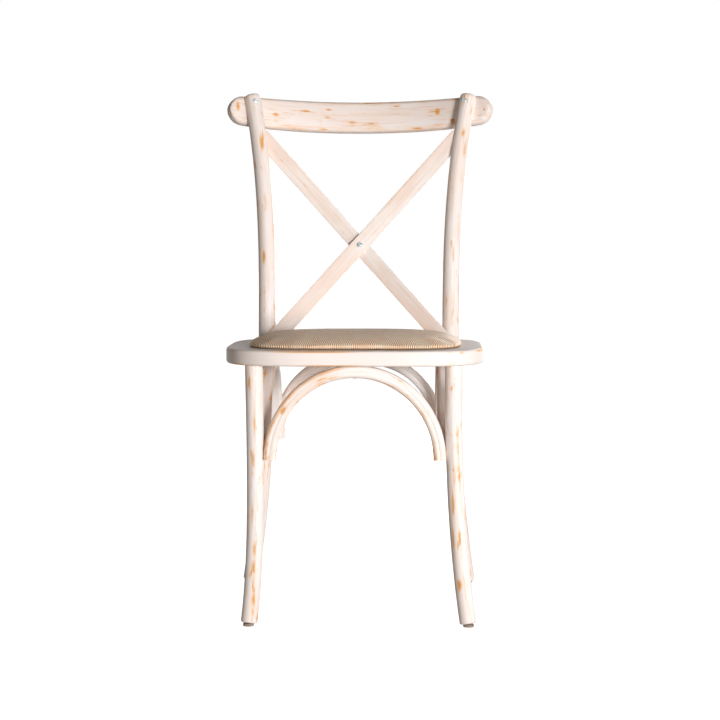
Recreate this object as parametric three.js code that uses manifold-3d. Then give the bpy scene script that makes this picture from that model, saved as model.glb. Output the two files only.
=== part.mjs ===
import * as THREE from 'three';
import { mergeVertices } from 'three/addons/utils/BufferGeometryUtils.js';
import Module from 'manifold-3d';

// Cross-back chair with a bentwood frame, worn white paint and a woven seat pad.
// Millimetres, +Z up. The chair faces -Y, and left is -X, as seen from the front.

// Overall
const CHAIR_HEIGHT = 889;
const SEAT_HEIGHT = 449;
const GAP = 0.3;

// Seat ring, panel and pad. The outlines are superellipses round the seat's centre.
const RING_WIDTH = 430;
const RING_DEPTH = 412;
const RING_THICKNESS = 25;
const RING_EDGE = 4;
const RING_RAIL = 88;
const SEAT_SQUARENESS = 4;
const OUTLINE_POINTS = 56;
const REBATE_MARGIN = 40;
const PANEL_THICKNESS = 9.7;
const PANEL_CLEARANCE = 0.5;
const PAD_MARGIN = 35;
const PAD_RIM = 7;
const PAD_CROWN = 24;
const PAD_FULLNESS = 0.65;
const PAD_SIDES = 48;

// Front legs. The exponents of the bends say how late a leg turns towards its foot.
const FRONT_LEG_SIDE_INSET = 53;
const FRONT_LEG_INSET = 47;
const FRONT_LEG_TOP = 29;
const FRONT_LEG_FOOT = 27;
const FRONT_FOOT_FORWARD = 17;
const FRONT_FOOT_FORWARD_BEND = 3;
const TENON_DIAMETER = 18;
const TENON_LENGTH = 18;
const TENON_SIDES = 16;

// Rear legs, each bent from one rod that runs up past the seat as a back post
const REAR_LEG_SIDE_INSET = 50.7;
const REAR_LEG_INSET = 27;
const REAR_LEG_SEAT = 31;
const REAR_LEG_TOP = 29;
const REAR_LEG_FOOT = 28;
const REAR_FOOT_SPLAY_BEND = 2.1;
const REAR_FOOT_BACK = 60;
const REAR_FOOT_BACK_BEND = 2;
const POST_FLARE = 33;
const POST_FLARE_BEND = 2.8;
const POST_RAKE = 85;
const POST_RAKE_BEND = 1.2;
const POST_ROUND = 8;

// The legs splay a little unevenly: lean is spread evenly over a front leg's height,
// kick is added towards its foot, and splay is the rear foot's.
const SIDES = [
  { name: 'left', sign: -1, lean: -6, kick: 14.7, bend: 4, splay: 36 },
  { name: 'right', sign: 1, lean: 0, kick: 24.6, bend: 2.5, splay: 33 },
];

// Steps along the bent pieces, and arc steps of a round section, two sides to a step
const FRONT_LEG_STEPS = 12;
const REAR_LEG_STEPS = 20;
const ROD_ARC_STEPS = 8;
const RAIL_STEPS = 16;
const STRAP_STEPS = 16;
const ARCH_STEPS = 18;
const CURVE_POINTS = 24;
const LEG_OVERRUN = 15;

// Foot glides
const GLIDE_DIAMETER = 18;
const GLIDE_HEIGHT = 5;
const GLIDE_BEVEL = 1.5;
const GLIDE_STEM_DIAMETER = 5;
const GLIDE_STEM_LENGTH = 14;
const GLIDE_SIDES = 16;

// Top rail, set into the back of the posts
const RAIL_OVERHANG = 46.6;
const RAIL_HEIGHT = 57;
const RAIL_END_HEIGHT = 50;
const RAIL_TAPER_BEND = 4;
const RAIL_THICKNESS = 24;
const RAIL_TIP_THINNESS = 0.55;
const RAIL_EDGE = 8;
const RAIL_BEND_RADIUS = 496;
const RAIL_BELOW_TOP = 28;
const RAIL_BEHIND_POST_AXIS = 5;

// Crossed straps, let into the seat ring below and into the posts above
const STRAP_WIDTH = 28;
const STRAP_THICKNESS = 4.5;
const STRAP_FOOT_DEPTH = 11;
const STRAP_FOOT_INWARD = 3.8;
const STRAP_FOOT_AHEAD = 31;
const STRAP_TOP_BELOW = 75;
const STRAP_TOP_DEPTH = 9;
const CROSS_ABOVE_SEAT = 166;
const CROSS_BEHIND_POSTS = 55;
const CROSS_GAP = 1.4;

// Arches between the legs
const ARCH_THICKNESS = 20.5;
const ARCH_WIDTH = 27;
const ARCH_EDGE = 6;
const ARCH_DROP = 154;
const ARCH_LAP = 0.6;
const FRONT_ARCH_SQUARENESS = 2;
const REAR_ARCH_SQUARENESS = 2.25;
const SIDE_ARCH_SQUARENESS = 2.2;
const SIDE_ARCH_INSET = 13;
const SIDE_ARCH_LAP = 0.2;

// Screws and bolts. The head's crown and rim are shares of its radius and height.
const HEAD_CROWN = 0.55;
const HEAD_RIM = 0.4;
const PIN_SIDES = 12;
const SCREW_DIAMETER = 4;
const SCREW_HEAD = 9;
const SCREW_HEAD_HEIGHT = 2.6;
const SCREW_SUNK = 1.2;
const SCREW_LENGTH = 31;
const SCREW_ABOVE_ARCH_FOOT = 16;
const PANEL_SCREW_LENGTH = 20;
const PANEL_SCREW_X = 70;
const PANEL_SCREW_FROM_EDGE = 72;
const RAIL_SCREW_BELOW_TOP = 15;
const RAIL_SCREW_HEAD = 9.5;
const RAIL_SCREW_LENGTH = 34;
const BOLT_DIAMETER = 6;
const BOLT_HEAD = 12;
const BOLT_HEAD_HEIGHT = 3;
const BOLT_LENGTH = 62;
const BOLT_ABOVE_UNDERSIDE = 9;
const CROSS_BOLT_DIAMETER = 5;
const CROSS_BOLT_HEAD = 10;
const CROSS_NUT_WIDTH = 9;
const CROSS_NUT_HEIGHT = 3.5;

// Places that follow from the sizes above. Depths are measured from the seat's centre.
const RING_UNDERSIDE = SEAT_HEIGHT - RING_THICKNESS;
const RING_MIDDLE = SEAT_HEIGHT - RING_THICKNESS / 2;
const REBATE_FLOOR = SEAT_HEIGHT - PANEL_THICKNESS - GAP;
const FRONT_LEG_X = RING_WIDTH / 2 - FRONT_LEG_SIDE_INSET;
const FRONT_LEG_Y = FRONT_LEG_INSET - RING_DEPTH / 2;
const REAR_LEG_X = RING_WIDTH / 2 - REAR_LEG_SIDE_INSET;
const REAR_LEG_Y = RING_DEPTH / 2 - REAR_LEG_INSET;
const ARCH_FOOT_HEIGHT = RING_UNDERSIDE - ARCH_DROP;
const ARCH_SCREW_HEIGHT = ARCH_FOOT_HEIGHT + SCREW_ABOVE_ARCH_FOOT;
const CROSSING = new THREE.Vector3(0, REAR_LEG_Y + CROSS_BEHIND_POSTS, SEAT_HEIGHT + CROSS_ABOVE_SEAT);
const X = new THREE.Vector3(1, 0, 0);
const Y = new THREE.Vector3(0, 1, 0);
const Z = new THREE.Vector3(0, 0, 1);
const { lerp, degToRad } = THREE.MathUtils;
const FRONT_LEG_AT_ARCH = lerp(FRONT_LEG_FOOT, FRONT_LEG_TOP, ARCH_SCREW_HEIGHT / RING_UNDERSIDE);
const REAR_LEG_AT_ARCH = lerp(REAR_LEG_FOOT, REAR_LEG_SEAT, ARCH_SCREW_HEIGHT / RING_UNDERSIDE);

// Finishes
const whitePaint = () => new THREE.MeshStandardMaterial({ color: 0xefe3dc, roughness: 0.55, metalness: 0 });
const strapPaint = () => new THREE.MeshStandardMaterial({ color: 0xefdcd3, roughness: 0.55, metalness: 0 });
const plywood = () => new THREE.MeshStandardMaterial({ color: 0xc9a878, roughness: 0.8, metalness: 0 });
const cane = () => new THREE.MeshStandardMaterial({ color: 0xcdb08a, roughness: 0.85, metalness: 0 });
const steel = () => new THREE.MeshStandardMaterial({ color: 0xb9c0c2, roughness: 0.35, metalness: 0.9 });
const glidePlastic = () => new THREE.MeshStandardMaterial({ color: 0x6b5f56, roughness: 0.6, metalness: 0 });

// Closed geometry to solid and back
const wasm = await Module();
wasm.setup();

function solidOf(geometry) {
  const bare = geometry.clone();
  bare.deleteAttribute('normal');
  bare.deleteAttribute('uv');
  const closed = mergeVertices(bare, 1e-4);
  return new wasm.Manifold(new wasm.Mesh({
    numProp: 3,
    vertProperties: new Float32Array(closed.attributes.position.array),
    triVerts: new Uint32Array(closed.index.array),
  }));
}

function geometryOf(solid) {
  const mesh = solid.getMesh();
  const geometry = new THREE.BufferGeometry();
  geometry.setAttribute('position', new THREE.BufferAttribute(mesh.vertProperties, 3));
  geometry.setIndex(new THREE.BufferAttribute(mesh.triVerts, 1));
  geometry.computeVertexNormals();
  return geometry;
}

const cut = (solid, ...tools) => tools.reduce((left, tool) => left.subtract(tool), solid);

// A box between two heights, wider than the chair, to trim what stands in it
function slab(bottom, top) {
  const box = new THREE.BoxGeometry(2 * RING_WIDTH, 4 * RING_DEPTH, top - bottom);
  return solidOf(box.translate(0, 0, (top + bottom) / 2));
}

// Sections
function circle(diameter) {
  return new THREE.Shape().absarc(0, 0, diameter / 2, 0, 2 * Math.PI);
}

function roundedBar(thickness, width, edge) {
  const u = thickness / 2 - edge;
  const v = width / 2 - edge;
  const shape = new THREE.Shape();
  shape.moveTo(u + edge, -v);
  shape.absarc(u, v, edge, 0, Math.PI / 2);
  shape.absarc(-u, v, edge, Math.PI / 2, Math.PI);
  shape.absarc(-u, -v, edge, Math.PI, 1.5 * Math.PI);
  shape.absarc(u, -v, edge, 1.5 * Math.PI, 2 * Math.PI);
  return shape;
}

function flatBar(thickness, width) {
  const shape = new THREE.Shape();
  shape.moveTo(thickness / 2, -width / 2);
  shape.lineTo(thickness / 2, width / 2);
  shape.lineTo(-thickness / 2, width / 2);
  shape.lineTo(-thickness / 2, -width / 2);
  return shape;
}

// A section swept along a curve. Its v direction keeps to `up`, and scaleAt gives its
// size in u and v at each station, a share of the curve's length.
function sweep(section, curve, { up, stations, scaleAt = () => [1, 1], arcSteps = 1 }) {
  const steps = stations.length - 1;
  const geometry = new THREE.ExtrudeGeometry(section, {
    depth: 1, steps, bevelEnabled: false, curveSegments: arcSteps,
  });
  const frames = stations.map((share) => {
    const along = curve.getTangentAt(share);
    const u = new THREE.Vector3().crossVectors(up, along).normalize();
    const v = new THREE.Vector3().crossVectors(along, u);
    return { at: curve.getPointAt(share), u, v, scale: scaleAt(share) };
  });
  const position = geometry.attributes.position;
  const point = new THREE.Vector3();
  for (let i = 0; i < position.count; i += 1) {
    const frame = frames[Math.round(position.getZ(i) * steps)];
    point.copy(frame.at);
    point.addScaledVector(frame.u, position.getX(i) * frame.scale[0]);
    point.addScaledVector(frame.v, position.getY(i) * frame.scale[1]);
    position.setXYZ(i, point.x, point.y, point.z);
  }
  return solidOf(geometry);
}

const evenly = (steps) => Array.from({ length: steps + 1 }, (_, i) => i / steps);

function curveThrough(count, pointAt) {
  return new THREE.CatmullRomCurve3(evenly(count).map(pointAt), false, 'centripetal');
}

// Centrelines of the legs, as points at a height
function frontLegPoint(side, height) {
  const drop = (RING_UNDERSIDE - height) / RING_UNDERSIDE;
  const below = Math.max(drop, 0);
  const outward = side.lean * drop + side.kick * below ** side.bend;
  const forward = FRONT_FOOT_FORWARD * below ** FRONT_FOOT_FORWARD_BEND;
  return new THREE.Vector3(side.sign * (FRONT_LEG_X + outward), FRONT_LEG_Y - forward, height);
}

function rearLegPoint(side, height) {
  const drop = Math.max((RING_MIDDLE - height) / RING_MIDDLE, 0);
  const rise = Math.max((height - RING_MIDDLE) / (CHAIR_HEIGHT - RING_MIDDLE), 0);
  const outward = side.splay * drop ** REAR_FOOT_SPLAY_BEND + POST_FLARE * rise ** POST_FLARE_BEND;
  const back = REAR_FOOT_BACK * drop ** REAR_FOOT_BACK_BEND + POST_RAKE * rise ** POST_RAKE_BEND;
  return new THREE.Vector3(side.sign * (REAR_LEG_X + outward), REAR_LEG_Y + back, height);
}

// Legs, with `grow` added all round where another piece is cut to fit them
function frontLegRod(side, grow = 0) {
  const top = RING_UNDERSIDE + LEG_OVERRUN;
  const foot = -LEG_OVERRUN;
  const line = curveThrough(FRONT_LEG_STEPS, (share) => frontLegPoint(side, lerp(top, foot, share)));
  const sizeAt = (share) => {
    const size = lerp(FRONT_LEG_TOP, FRONT_LEG_FOOT, share) + 2 * grow;
    return [size, size];
  };
  return sweep(circle(1), line, {
    up: X, stations: evenly(FRONT_LEG_STEPS), scaleAt: sizeAt, arcSteps: ROD_ARC_STEPS,
  });
}

function rearLegRod(side, grow = 0) {
  const foot = -LEG_OVERRUN;
  const line = curveThrough(CURVE_POINTS, (share) => rearLegPoint(side, lerp(foot, CHAIR_HEIGHT, share)));
  const seatShare = (RING_UNDERSIDE - foot) / (CHAIR_HEIGHT - foot);
  const roundShare = POST_ROUND / line.getLength();
  const turns = [30, 60, 90].map(degToRad);
  const stations = evenly(REAR_LEG_STEPS).map((share) => share * (1 - roundShare));
  stations.push(...turns.map((turn) => 1 - roundShare * (1 - Math.sin(turn))));
  const sizeAt = (share) => {
    const size = share < seatShare
      ? lerp(REAR_LEG_FOOT, REAR_LEG_SEAT, share / seatShare)
      : lerp(REAR_LEG_SEAT, REAR_LEG_TOP, (share - seatShare) / (1 - seatShare));
    const past = Math.min(Math.max((share - (1 - roundShare)) / roundShare, 0), 1);
    const rounded = size - 2 * POST_ROUND * (1 - Math.sqrt(1 - past ** 2)) + 2 * grow;
    return [rounded, rounded];
  };
  return sweep(circle(1), line, { up: X, stations, scaleAt: sizeAt, arcSteps: ROD_ARC_STEPS });
}

// Superellipse outlines of the seat, drawn in by a margin
function seatOutline(margin) {
  const halfWidth = RING_WIDTH / 2 - margin;
  const halfDepth = RING_DEPTH / 2 - margin;
  const radiusAt = (angle) => (
    (Math.abs(Math.cos(angle)) / halfWidth) ** SEAT_SQUARENESS
    + (Math.abs(Math.sin(angle)) / halfDepth) ** SEAT_SQUARENESS
  ) ** (-1 / SEAT_SQUARENESS);
  const points = Array.from({ length: OUTLINE_POINTS }, (_, i) => {
    const angle = (2 * Math.PI * i) / OUTLINE_POINTS;
    return new THREE.Vector2(Math.cos(angle), Math.sin(angle)).multiplyScalar(radiusAt(angle));
  });
  return { points, radiusAt };
}

function seatPlate(margin, bottom, top) {
  const shape = new THREE.Shape(seatOutline(margin).points);
  const plate = new THREE.ExtrudeGeometry(shape, { depth: top - bottom, bevelEnabled: false });
  return solidOf(plate.translate(0, 0, bottom));
}

function roundedSeatPlate(bottom, top) {
  const shape = new THREE.Shape(seatOutline(RING_EDGE).points);
  const plate = new THREE.ExtrudeGeometry(shape, {
    depth: top - bottom - 2 * RING_EDGE,
    bevelThickness: RING_EDGE,
    bevelSize: RING_EDGE,
    bevelSegments: 2,
  });
  return solidOf(plate.translate(0, 0, bottom + RING_EDGE));
}

const lathe = (profile, sides) => new THREE.LatheGeometry(
  profile.map(([radius, height]) => new THREE.Vector2(radius, height)), sides,
).rotateX(Math.PI / 2);

// Pad: a lathed dome whose radius follows the seat's outline
function padSolid() {
  const domeAt = (share) => PAD_RIM + (PAD_CROWN - PAD_RIM) * (1 - share ** 2) ** PAD_FULLNESS;
  const dome = [0.98, 0.93, 0.84, 0.7, 0.5, 0.25].map((share) => [share, domeAt(share)]);
  const geometry = lathe([[0, 0], [0.99, 0], [1, PAD_RIM / 2], ...dome, [0, PAD_CROWN]], PAD_SIDES);
  const { radiusAt } = seatOutline(PAD_MARGIN);
  const position = geometry.attributes.position;
  for (let i = 0; i < position.count; i += 1) {
    const reach = radiusAt(Math.atan2(position.getY(i), position.getX(i)));
    position.setXY(i, position.getX(i) * reach, position.getY(i) * reach);
  }
  return solidOf(geometry.translate(0, 0, SEAT_HEIGHT + GAP));
}

// Top rail: an arc in the plane square to the posts' lean, its ends rounded
const postTop = rearLegPoint(SIDES[1], CHAIR_HEIGHT - RAIL_BELOW_TOP);
const postBelow = rearLegPoint(SIDES[1], CHAIR_HEIGHT - RAIL_BELOW_TOP - RAIL_HEIGHT);
const postLean = new THREE.Vector3(0, postTop.y - postBelow.y, postTop.z - postBelow.z).normalize();
const backward = new THREE.Vector3().crossVectors(postLean, X);
const postArcRadius = RAIL_BEND_RADIUS - RAIL_BEHIND_POST_AXIS - RAIL_THICKNESS / 2;
const postAngle = Math.asin(postTop.x / postArcRadius);
const railCentre = new THREE.Vector3(0, postTop.y, postTop.z)
  .addScaledVector(backward, -postArcRadius * Math.cos(postAngle));

function railPoint(angle) {
  return railCentre.clone()
    .addScaledVector(X, RAIL_BEND_RADIUS * Math.sin(angle))
    .addScaledVector(backward, RAIL_BEND_RADIUS * Math.cos(angle));
}

function railSolid(grow = 0) {
  const reach = Math.asin((postTop.x + RAIL_OVERHANG) / RAIL_BEND_RADIUS);
  const line = curveThrough(CURVE_POINTS, (share) => railPoint(lerp(-reach, reach, share)));
  const endShare = RAIL_END_HEIGHT / 2 / line.getLength();
  const tip = [0.02, 0.12, 0.35, 0.65, 1].map((turn) => endShare * turn);
  const middle = evenly(RAIL_STEPS).slice(1, -1).map((share) => lerp(endShare, 1 - endShare, share));
  const stations = [...tip, ...middle, ...tip.map((share) => 1 - share).reverse()];
  const scaleAt = (share) => {
    const fromMiddle = Math.abs(2 * share - 1);
    const height = lerp(RAIL_HEIGHT, RAIL_END_HEIGHT, fromMiddle ** RAIL_TAPER_BEND);
    const into = Math.min(Math.min(share, 1 - share) / endShare, 1);
    const round = Math.sqrt(1 - (1 - into) ** 2);
    const thickness = RAIL_THICKNESS * lerp(RAIL_TIP_THINNESS, 1, round);
    return [(thickness + 2 * grow) / RAIL_THICKNESS, (round * height + 2 * grow) / RAIL_HEIGHT];
  };
  return sweep(roundedBar(RAIL_THICKNESS, RAIL_HEIGHT, RAIL_EDGE), line, { up: postLean, stations, scaleAt });
}

// Straps: each climbs from the ring, in front of its own post, to the other post
function strapEnds(side) {
  const top = rearLegPoint(side, CHAIR_HEIGHT - STRAP_TOP_BELOW);
  top.x -= side.sign * (REAR_LEG_TOP / 2 - STRAP_TOP_DEPTH);
  const foot = new THREE.Vector3(
    side.sign * (STRAP_FOOT_INWARD - REAR_LEG_X),
    REAR_LEG_Y - STRAP_FOOT_AHEAD,
    SEAT_HEIGHT - STRAP_FOOT_DEPTH,
  );
  return { foot, top };
}

const strapLean = strapEnds(SIDES[1]).top.sub(strapEnds(SIDES[1]).foot).setX(0).normalize();
const strapNormal = new THREE.Vector3().crossVectors(strapLean, X);

// The strap that ends at the right post lies in front
function strapSolid(side, grow = 0) {
  const { foot, top } = strapEnds(side);
  const behind = -side.sign * (STRAP_THICKNESS + CROSS_GAP) / 2;
  const middle = CROSSING.clone().addScaledVector(strapNormal, behind);
  const lengthen = (end) => end.addScaledVector(end.clone().sub(middle).normalize(), grow);
  const line = new THREE.CatmullRomCurve3([lengthen(foot), middle, lengthen(top)], false, 'centripetal');
  return sweep(flatBar(STRAP_THICKNESS + 2 * grow, STRAP_WIDTH + 2 * grow), line, {
    up: strapLean, stations: evenly(STRAP_STEPS),
  });
}

// Arches: half a superellipse standing on its feet, with its crown under the ring
function archLine(centre, across, halfSpan, squareness) {
  const rise = RING_UNDERSIDE - GAP - ARCH_THICKNESS / 2 - ARCH_FOOT_HEIGHT;
  return curveThrough(CURVE_POINTS, (share) => {
    const angle = Math.PI * (1 - share);
    const reach = Math.sign(Math.cos(angle)) * Math.abs(Math.cos(angle)) ** (2 / squareness);
    const height = ARCH_FOOT_HEIGHT + rise * Math.abs(Math.sin(angle)) ** (2 / squareness);
    return new THREE.Vector3(centre.x, centre.y, height).addScaledVector(across, halfSpan * reach);
  });
}

function archSolid(line, across, grow = 0) {
  const section = roundedBar(ARCH_THICKNESS + 2 * grow, ARCH_WIDTH + 2 * grow, ARCH_EDGE + grow);
  const up = new THREE.Vector3().crossVectors(Z, across);
  return sweep(section, line, { up, stations: evenly(ARCH_STEPS) });
}

// An arch between two upright legs, from the points where it meets them
function archBetween(start, end, across, squareness) {
  const centre = start.clone().add(end).multiplyScalar(0.5);
  const halfSpan = Math.abs(end.clone().sub(start).dot(across)) / 2 - ARCH_THICKNESS / 2;
  const line = archLine(centre, across, halfSpan, squareness);
  const crown = new THREE.Vector3(centre.x, centre.y, RING_UNDERSIDE - GAP - ARCH_THICKNESS);
  return { centre, halfSpan, crown, solid: archSolid(line, across), room: archSolid(line, across, GAP) };
}

// Hardware, turned round its own +Z, which points the way it is driven
function headedPin(shankDiameter, length, headDiameter, headHeight, grow = 0) {
  const shank = shankDiameter / 2 + grow;
  const head = headDiameter / 2 + grow;
  return lathe([
    [0, -headHeight - grow],
    [head * HEAD_CROWN, -headHeight - grow],
    [head, -headHeight * HEAD_RIM - grow],
    [head, grow],
    [shank, grow],
    [shank, length + grow],
    [0, length + grow],
  ], PIN_SIDES);
}

function glideGeometry(grow = 0) {
  const foot = GLIDE_DIAMETER / 2;
  const stem = GLIDE_STEM_DIAMETER / 2 + grow;
  const top = GLIDE_HEIGHT + GLIDE_STEM_LENGTH + grow;
  return lathe([
    [0, -grow],
    [foot - GLIDE_BEVEL, -grow],
    [foot, GLIDE_BEVEL],
    [foot, GLIDE_HEIGHT - GAP],
    [stem, GLIDE_HEIGHT - GAP],
    [stem, top],
    [0, top],
  ], GLIDE_SIDES);
}

function hexNut(grow = 0) {
  const radius = CROSS_NUT_WIDTH / 2 + grow;
  const nut = new THREE.CylinderGeometry(radius, radius, CROSS_NUT_HEIGHT + grow, 6);
  return nut.rotateX(Math.PI / 2).translate(0, 0, CROSS_NUT_HEIGHT / 2);
}

// A piece driven in from its seat, and the slightly larger cutter that makes room for it
function driven(name, geometryAt, seat, direction, material) {
  const mesh = new THREE.Mesh(geometryAt(0), material);
  mesh.name = name;
  mesh.position.copy(seat);
  mesh.quaternion.setFromUnitVectors(Z, direction.clone().normalize());
  mesh.updateMatrix();
  return { mesh, room: solidOf(geometryAt(GAP).applyMatrix4(mesh.matrix)) };
}

function screw(name, seat, direction, { length = SCREW_LENGTH, head = SCREW_HEAD } = {}) {
  const geometryAt = (grow) => headedPin(SCREW_DIAMETER, length, head, SCREW_HEAD_HEIGHT, grow);
  return driven(name, geometryAt, seat, direction, steel());
}

const rooms = (hardware) => hardware.map((piece) => piece.room);

// Arches, each between its two legs at the height of its foot screws
const inwardOf = (side, point, distance) => point.clone().addScaledVector(X, -side.sign * distance);
const frontLegAxes = SIDES.map((side) => frontLegPoint(side, ARCH_SCREW_HEIGHT));
const rearLegAxes = SIDES.map((side) => rearLegPoint(side, ARCH_SCREW_HEIGHT));
const frontMeets = SIDES.map((side, i) => inwardOf(side, frontLegAxes[i], FRONT_LEG_AT_ARCH / 2 - ARCH_LAP));
const rearMeets = SIDES.map((side, i) => inwardOf(side, rearLegAxes[i], REAR_LEG_AT_ARCH / 2 - ARCH_LAP));
const frontArch = archBetween(frontMeets[0], frontMeets[1], X, FRONT_ARCH_SQUARENESS);
const rearArch = archBetween(rearMeets[0], rearMeets[1], X, REAR_ARCH_SQUARENESS);
const sideArches = SIDES.map((side, i) => {
  const x = side.sign * (FRONT_LEG_X - SIDE_ARCH_INSET);
  const start = new THREE.Vector3(x, frontLegAxes[i].y + FRONT_LEG_AT_ARCH / 2 - SIDE_ARCH_LAP, 0);
  const end = new THREE.Vector3(x, rearLegAxes[i].y - REAR_LEG_AT_ARCH / 2 + SIDE_ARCH_LAP, 0);
  return archBetween(start, end, Y, SIDE_ARCH_SQUARENESS);
});

// Where each arch's foot screws sit: on its inner face, aimed at the leg
function facingFeet(arch) {
  return SIDES.map(({ name, sign }) => {
    const inward = sign * (arch.halfSpan - ARCH_THICKNESS / 2 + SCREW_SUNK);
    const seat = new THREE.Vector3(arch.centre.x + inward, arch.centre.y, ARCH_SCREW_HEIGHT);
    return { name, seat, direction: X.clone().multiplyScalar(sign) };
  });
}

function aimedFeet(arch, i) {
  const legs = [
    { name: 'front', axis: frontLegAxes[i], end: -1 },
    { name: 'rear', axis: rearLegAxes[i], end: 1 },
  ];
  return legs.map(({ name, axis, end }) => {
    const foot = new THREE.Vector3(arch.centre.x, arch.centre.y + end * arch.halfSpan, ARCH_SCREW_HEIGHT);
    const direction = axis.clone().sub(foot).setZ(0).normalize();
    const back = (ARCH_THICKNESS / 2 - SCREW_SUNK) / Math.abs(direction.y);
    return { name, seat: foot.addScaledVector(direction, -back), direction };
  });
}

// The screws of an arch: one through its crown into the ring, one through each foot
function archScrews(name, arch, feet) {
  const crown = screw(`${name}_crown_screw`, arch.crown.clone().addScaledVector(Z, SCREW_SUNK), Z);
  const footScrews = feet.map((foot) => screw(`${name}_screw_${foot.name}`, foot.seat, foot.direction));
  return { crown, feet: footScrews, all: [crown, ...footScrews] };
}

const frontArchScrews = archScrews('front_arch', frontArch, facingFeet(frontArch));
const rearArchScrews = archScrews('rear_arch', rearArch, facingFeet(rearArch));
const sideArchScrews = SIDES.map((side, i) => (
  archScrews(`side_arch_${side.name}`, sideArches[i], aimedFeet(sideArches[i], i))
));
const allArchScrews = [frontArchScrews, rearArchScrews, ...sideArchScrews];
const archCrownScrews = allArchScrews.map(({ crown }) => crown);
const archFootScrews = allArchScrews.flatMap(({ feet }) => feet);

// The rest of the hardware
const railScrews = SIDES.map((side) => {
  const direction = railPoint(side.sign * postAngle).sub(railCentre).normalize();
  const axis = rearLegPoint(side, CHAIR_HEIGHT - RAIL_SCREW_BELOW_TOP);
  const seat = axis.addScaledVector(direction, SCREW_SUNK - REAR_LEG_TOP / 2);
  const size = { length: RAIL_SCREW_LENGTH, head: RAIL_SCREW_HEAD };
  return screw(`rail_screw_${side.name}`, seat, direction, size);
});

const legBolts = SIDES.map((side) => {
  const axis = rearLegPoint(side, RING_UNDERSIDE + BOLT_ABOVE_UNDERSIDE);
  const seat = axis.addScaledVector(Y, REAR_LEG_SEAT / 2 - SCREW_SUNK);
  const geometryAt = (grow) => headedPin(BOLT_DIAMETER, BOLT_LENGTH, BOLT_HEAD, BOLT_HEAD_HEIGHT, grow);
  return driven(`rear_leg_bolt_${side.name}`, geometryAt, seat, Y.clone().negate(), steel());
});

const panelScrews = SIDES.flatMap((side) => [['front', -1], ['rear', 1]].map(([name, end]) => {
  const y = end * (RING_DEPTH / 2 - PANEL_SCREW_FROM_EDGE);
  const seat = new THREE.Vector3(side.sign * PANEL_SCREW_X, y, RING_UNDERSIDE + SCREW_SUNK);
  return screw(`panel_screw_${name}_${side.name}`, seat, Z, { length: PANEL_SCREW_LENGTH });
}));

const strapStack = 2 * (STRAP_THICKNESS + GAP) + CROSS_GAP;
const crossLength = strapStack + CROSS_NUT_HEIGHT;
const crossBoltAt = (grow) => (
  headedPin(CROSS_BOLT_DIAMETER, crossLength, CROSS_BOLT_HEAD, SCREW_HEAD_HEIGHT, grow)
);
const crossBoltSeat = CROSSING.clone().addScaledVector(strapNormal, -strapStack / 2);
const crossNutSeat = CROSSING.clone().addScaledVector(strapNormal, strapStack / 2);
const crossBolt = driven('cross_bolt', crossBoltAt, crossBoltSeat, strapNormal, steel());
const crossNut = driven('cross_nut', hexNut, crossNutSeat, strapNormal, steel());

function glidesUnder(name, pointAt) {
  return SIDES.map((side) => (
    driven(`${name}_glide_${side.name}`, glideGeometry, pointAt(side, 0), Z, glidePlastic())
  ));
}

const frontGlides = glidesUnder('front', frontLegPoint);
const rearGlides = glidesUnder('rear', rearLegPoint);

// The frame's pieces, each cut for what it holds or laps round
const frontRooms = SIDES.map((side) => frontLegRod(side, GAP));
const rearRooms = SIDES.map((side) => rearLegRod(side, GAP));
const strapRooms = SIDES.map((side) => strapSolid(side, GAP));
const railRoom = railSolid(GAP);
const floorCut = slab(-2 * LEG_OVERRUN, GLIDE_HEIGHT);
const ringCut = slab(RING_UNDERSIDE - GAP, RING_UNDERSIDE + 2 * LEG_OVERRUN);

function tenon(side, grow = 0) {
  const at = frontLegPoint(side, RING_UNDERSIDE);
  const radius = TENON_DIAMETER / 2 + grow;
  const bottom = RING_UNDERSIDE - LEG_OVERRUN;
  const top = RING_UNDERSIDE + TENON_LENGTH + grow;
  const rod = new THREE.CylinderGeometry(radius, radius, top - bottom, TENON_SIDES);
  return solidOf(rod.rotateX(Math.PI / 2).translate(at.x, at.y, (top + bottom) / 2));
}

const seatRing = cut(
  roundedSeatPlate(RING_UNDERSIDE, SEAT_HEIGHT),
  seatPlate(RING_RAIL, RING_UNDERSIDE - 1, SEAT_HEIGHT + 1),
  seatPlate(REBATE_MARGIN, REBATE_FLOOR, SEAT_HEIGHT + 1),
  ...rearRooms,
  ...strapRooms,
  ...SIDES.map((side) => tenon(side, GAP)),
  ...rooms([...archCrownScrews, ...panelScrews, ...legBolts]),
);
const seatPanel = cut(
  seatPlate(REBATE_MARGIN + PANEL_CLEARANCE, REBATE_FLOOR + GAP, SEAT_HEIGHT),
  ...rooms(panelScrews),
);
const seatPad = cut(padSolid(), ...strapRooms, ...rearRooms);
const frontLegs = SIDES.map((side, i) => cut(
  cut(frontLegRod(side), ringCut, floorCut).add(tenon(side)),
  ...rooms([frontGlides[i], ...archFootScrews]),
));
const rearLegs = SIDES.map((side, i) => cut(
  rearLegRod(side), floorCut, railRoom, ...strapRooms,
  ...rooms([rearGlides[i], ...archFootScrews, ...railScrews, ...legBolts]),
));
const [strapBehind, strapInFront] = SIDES.map((side) => cut(strapSolid(side), railRoom, crossBolt.room));
const backStraps = [cut(strapBehind, strapRooms[1], crossNut.room), strapInFront];
const sideArchBars = sideArches.map((arch, i) => cut(
  arch.solid, frontRooms[i], rearRooms[i], frontArch.room, rearArch.room, ...rooms(sideArchScrews[i].all),
));
const frontArchBar = cut(frontArch.solid, ...frontRooms, ...rooms(frontArchScrews.all));
const rearArchBar = cut(rearArch.solid, ...rearRooms, ...rooms(rearArchScrews.all));
const topRail = cut(railSolid(), ...rooms(railScrews));
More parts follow.
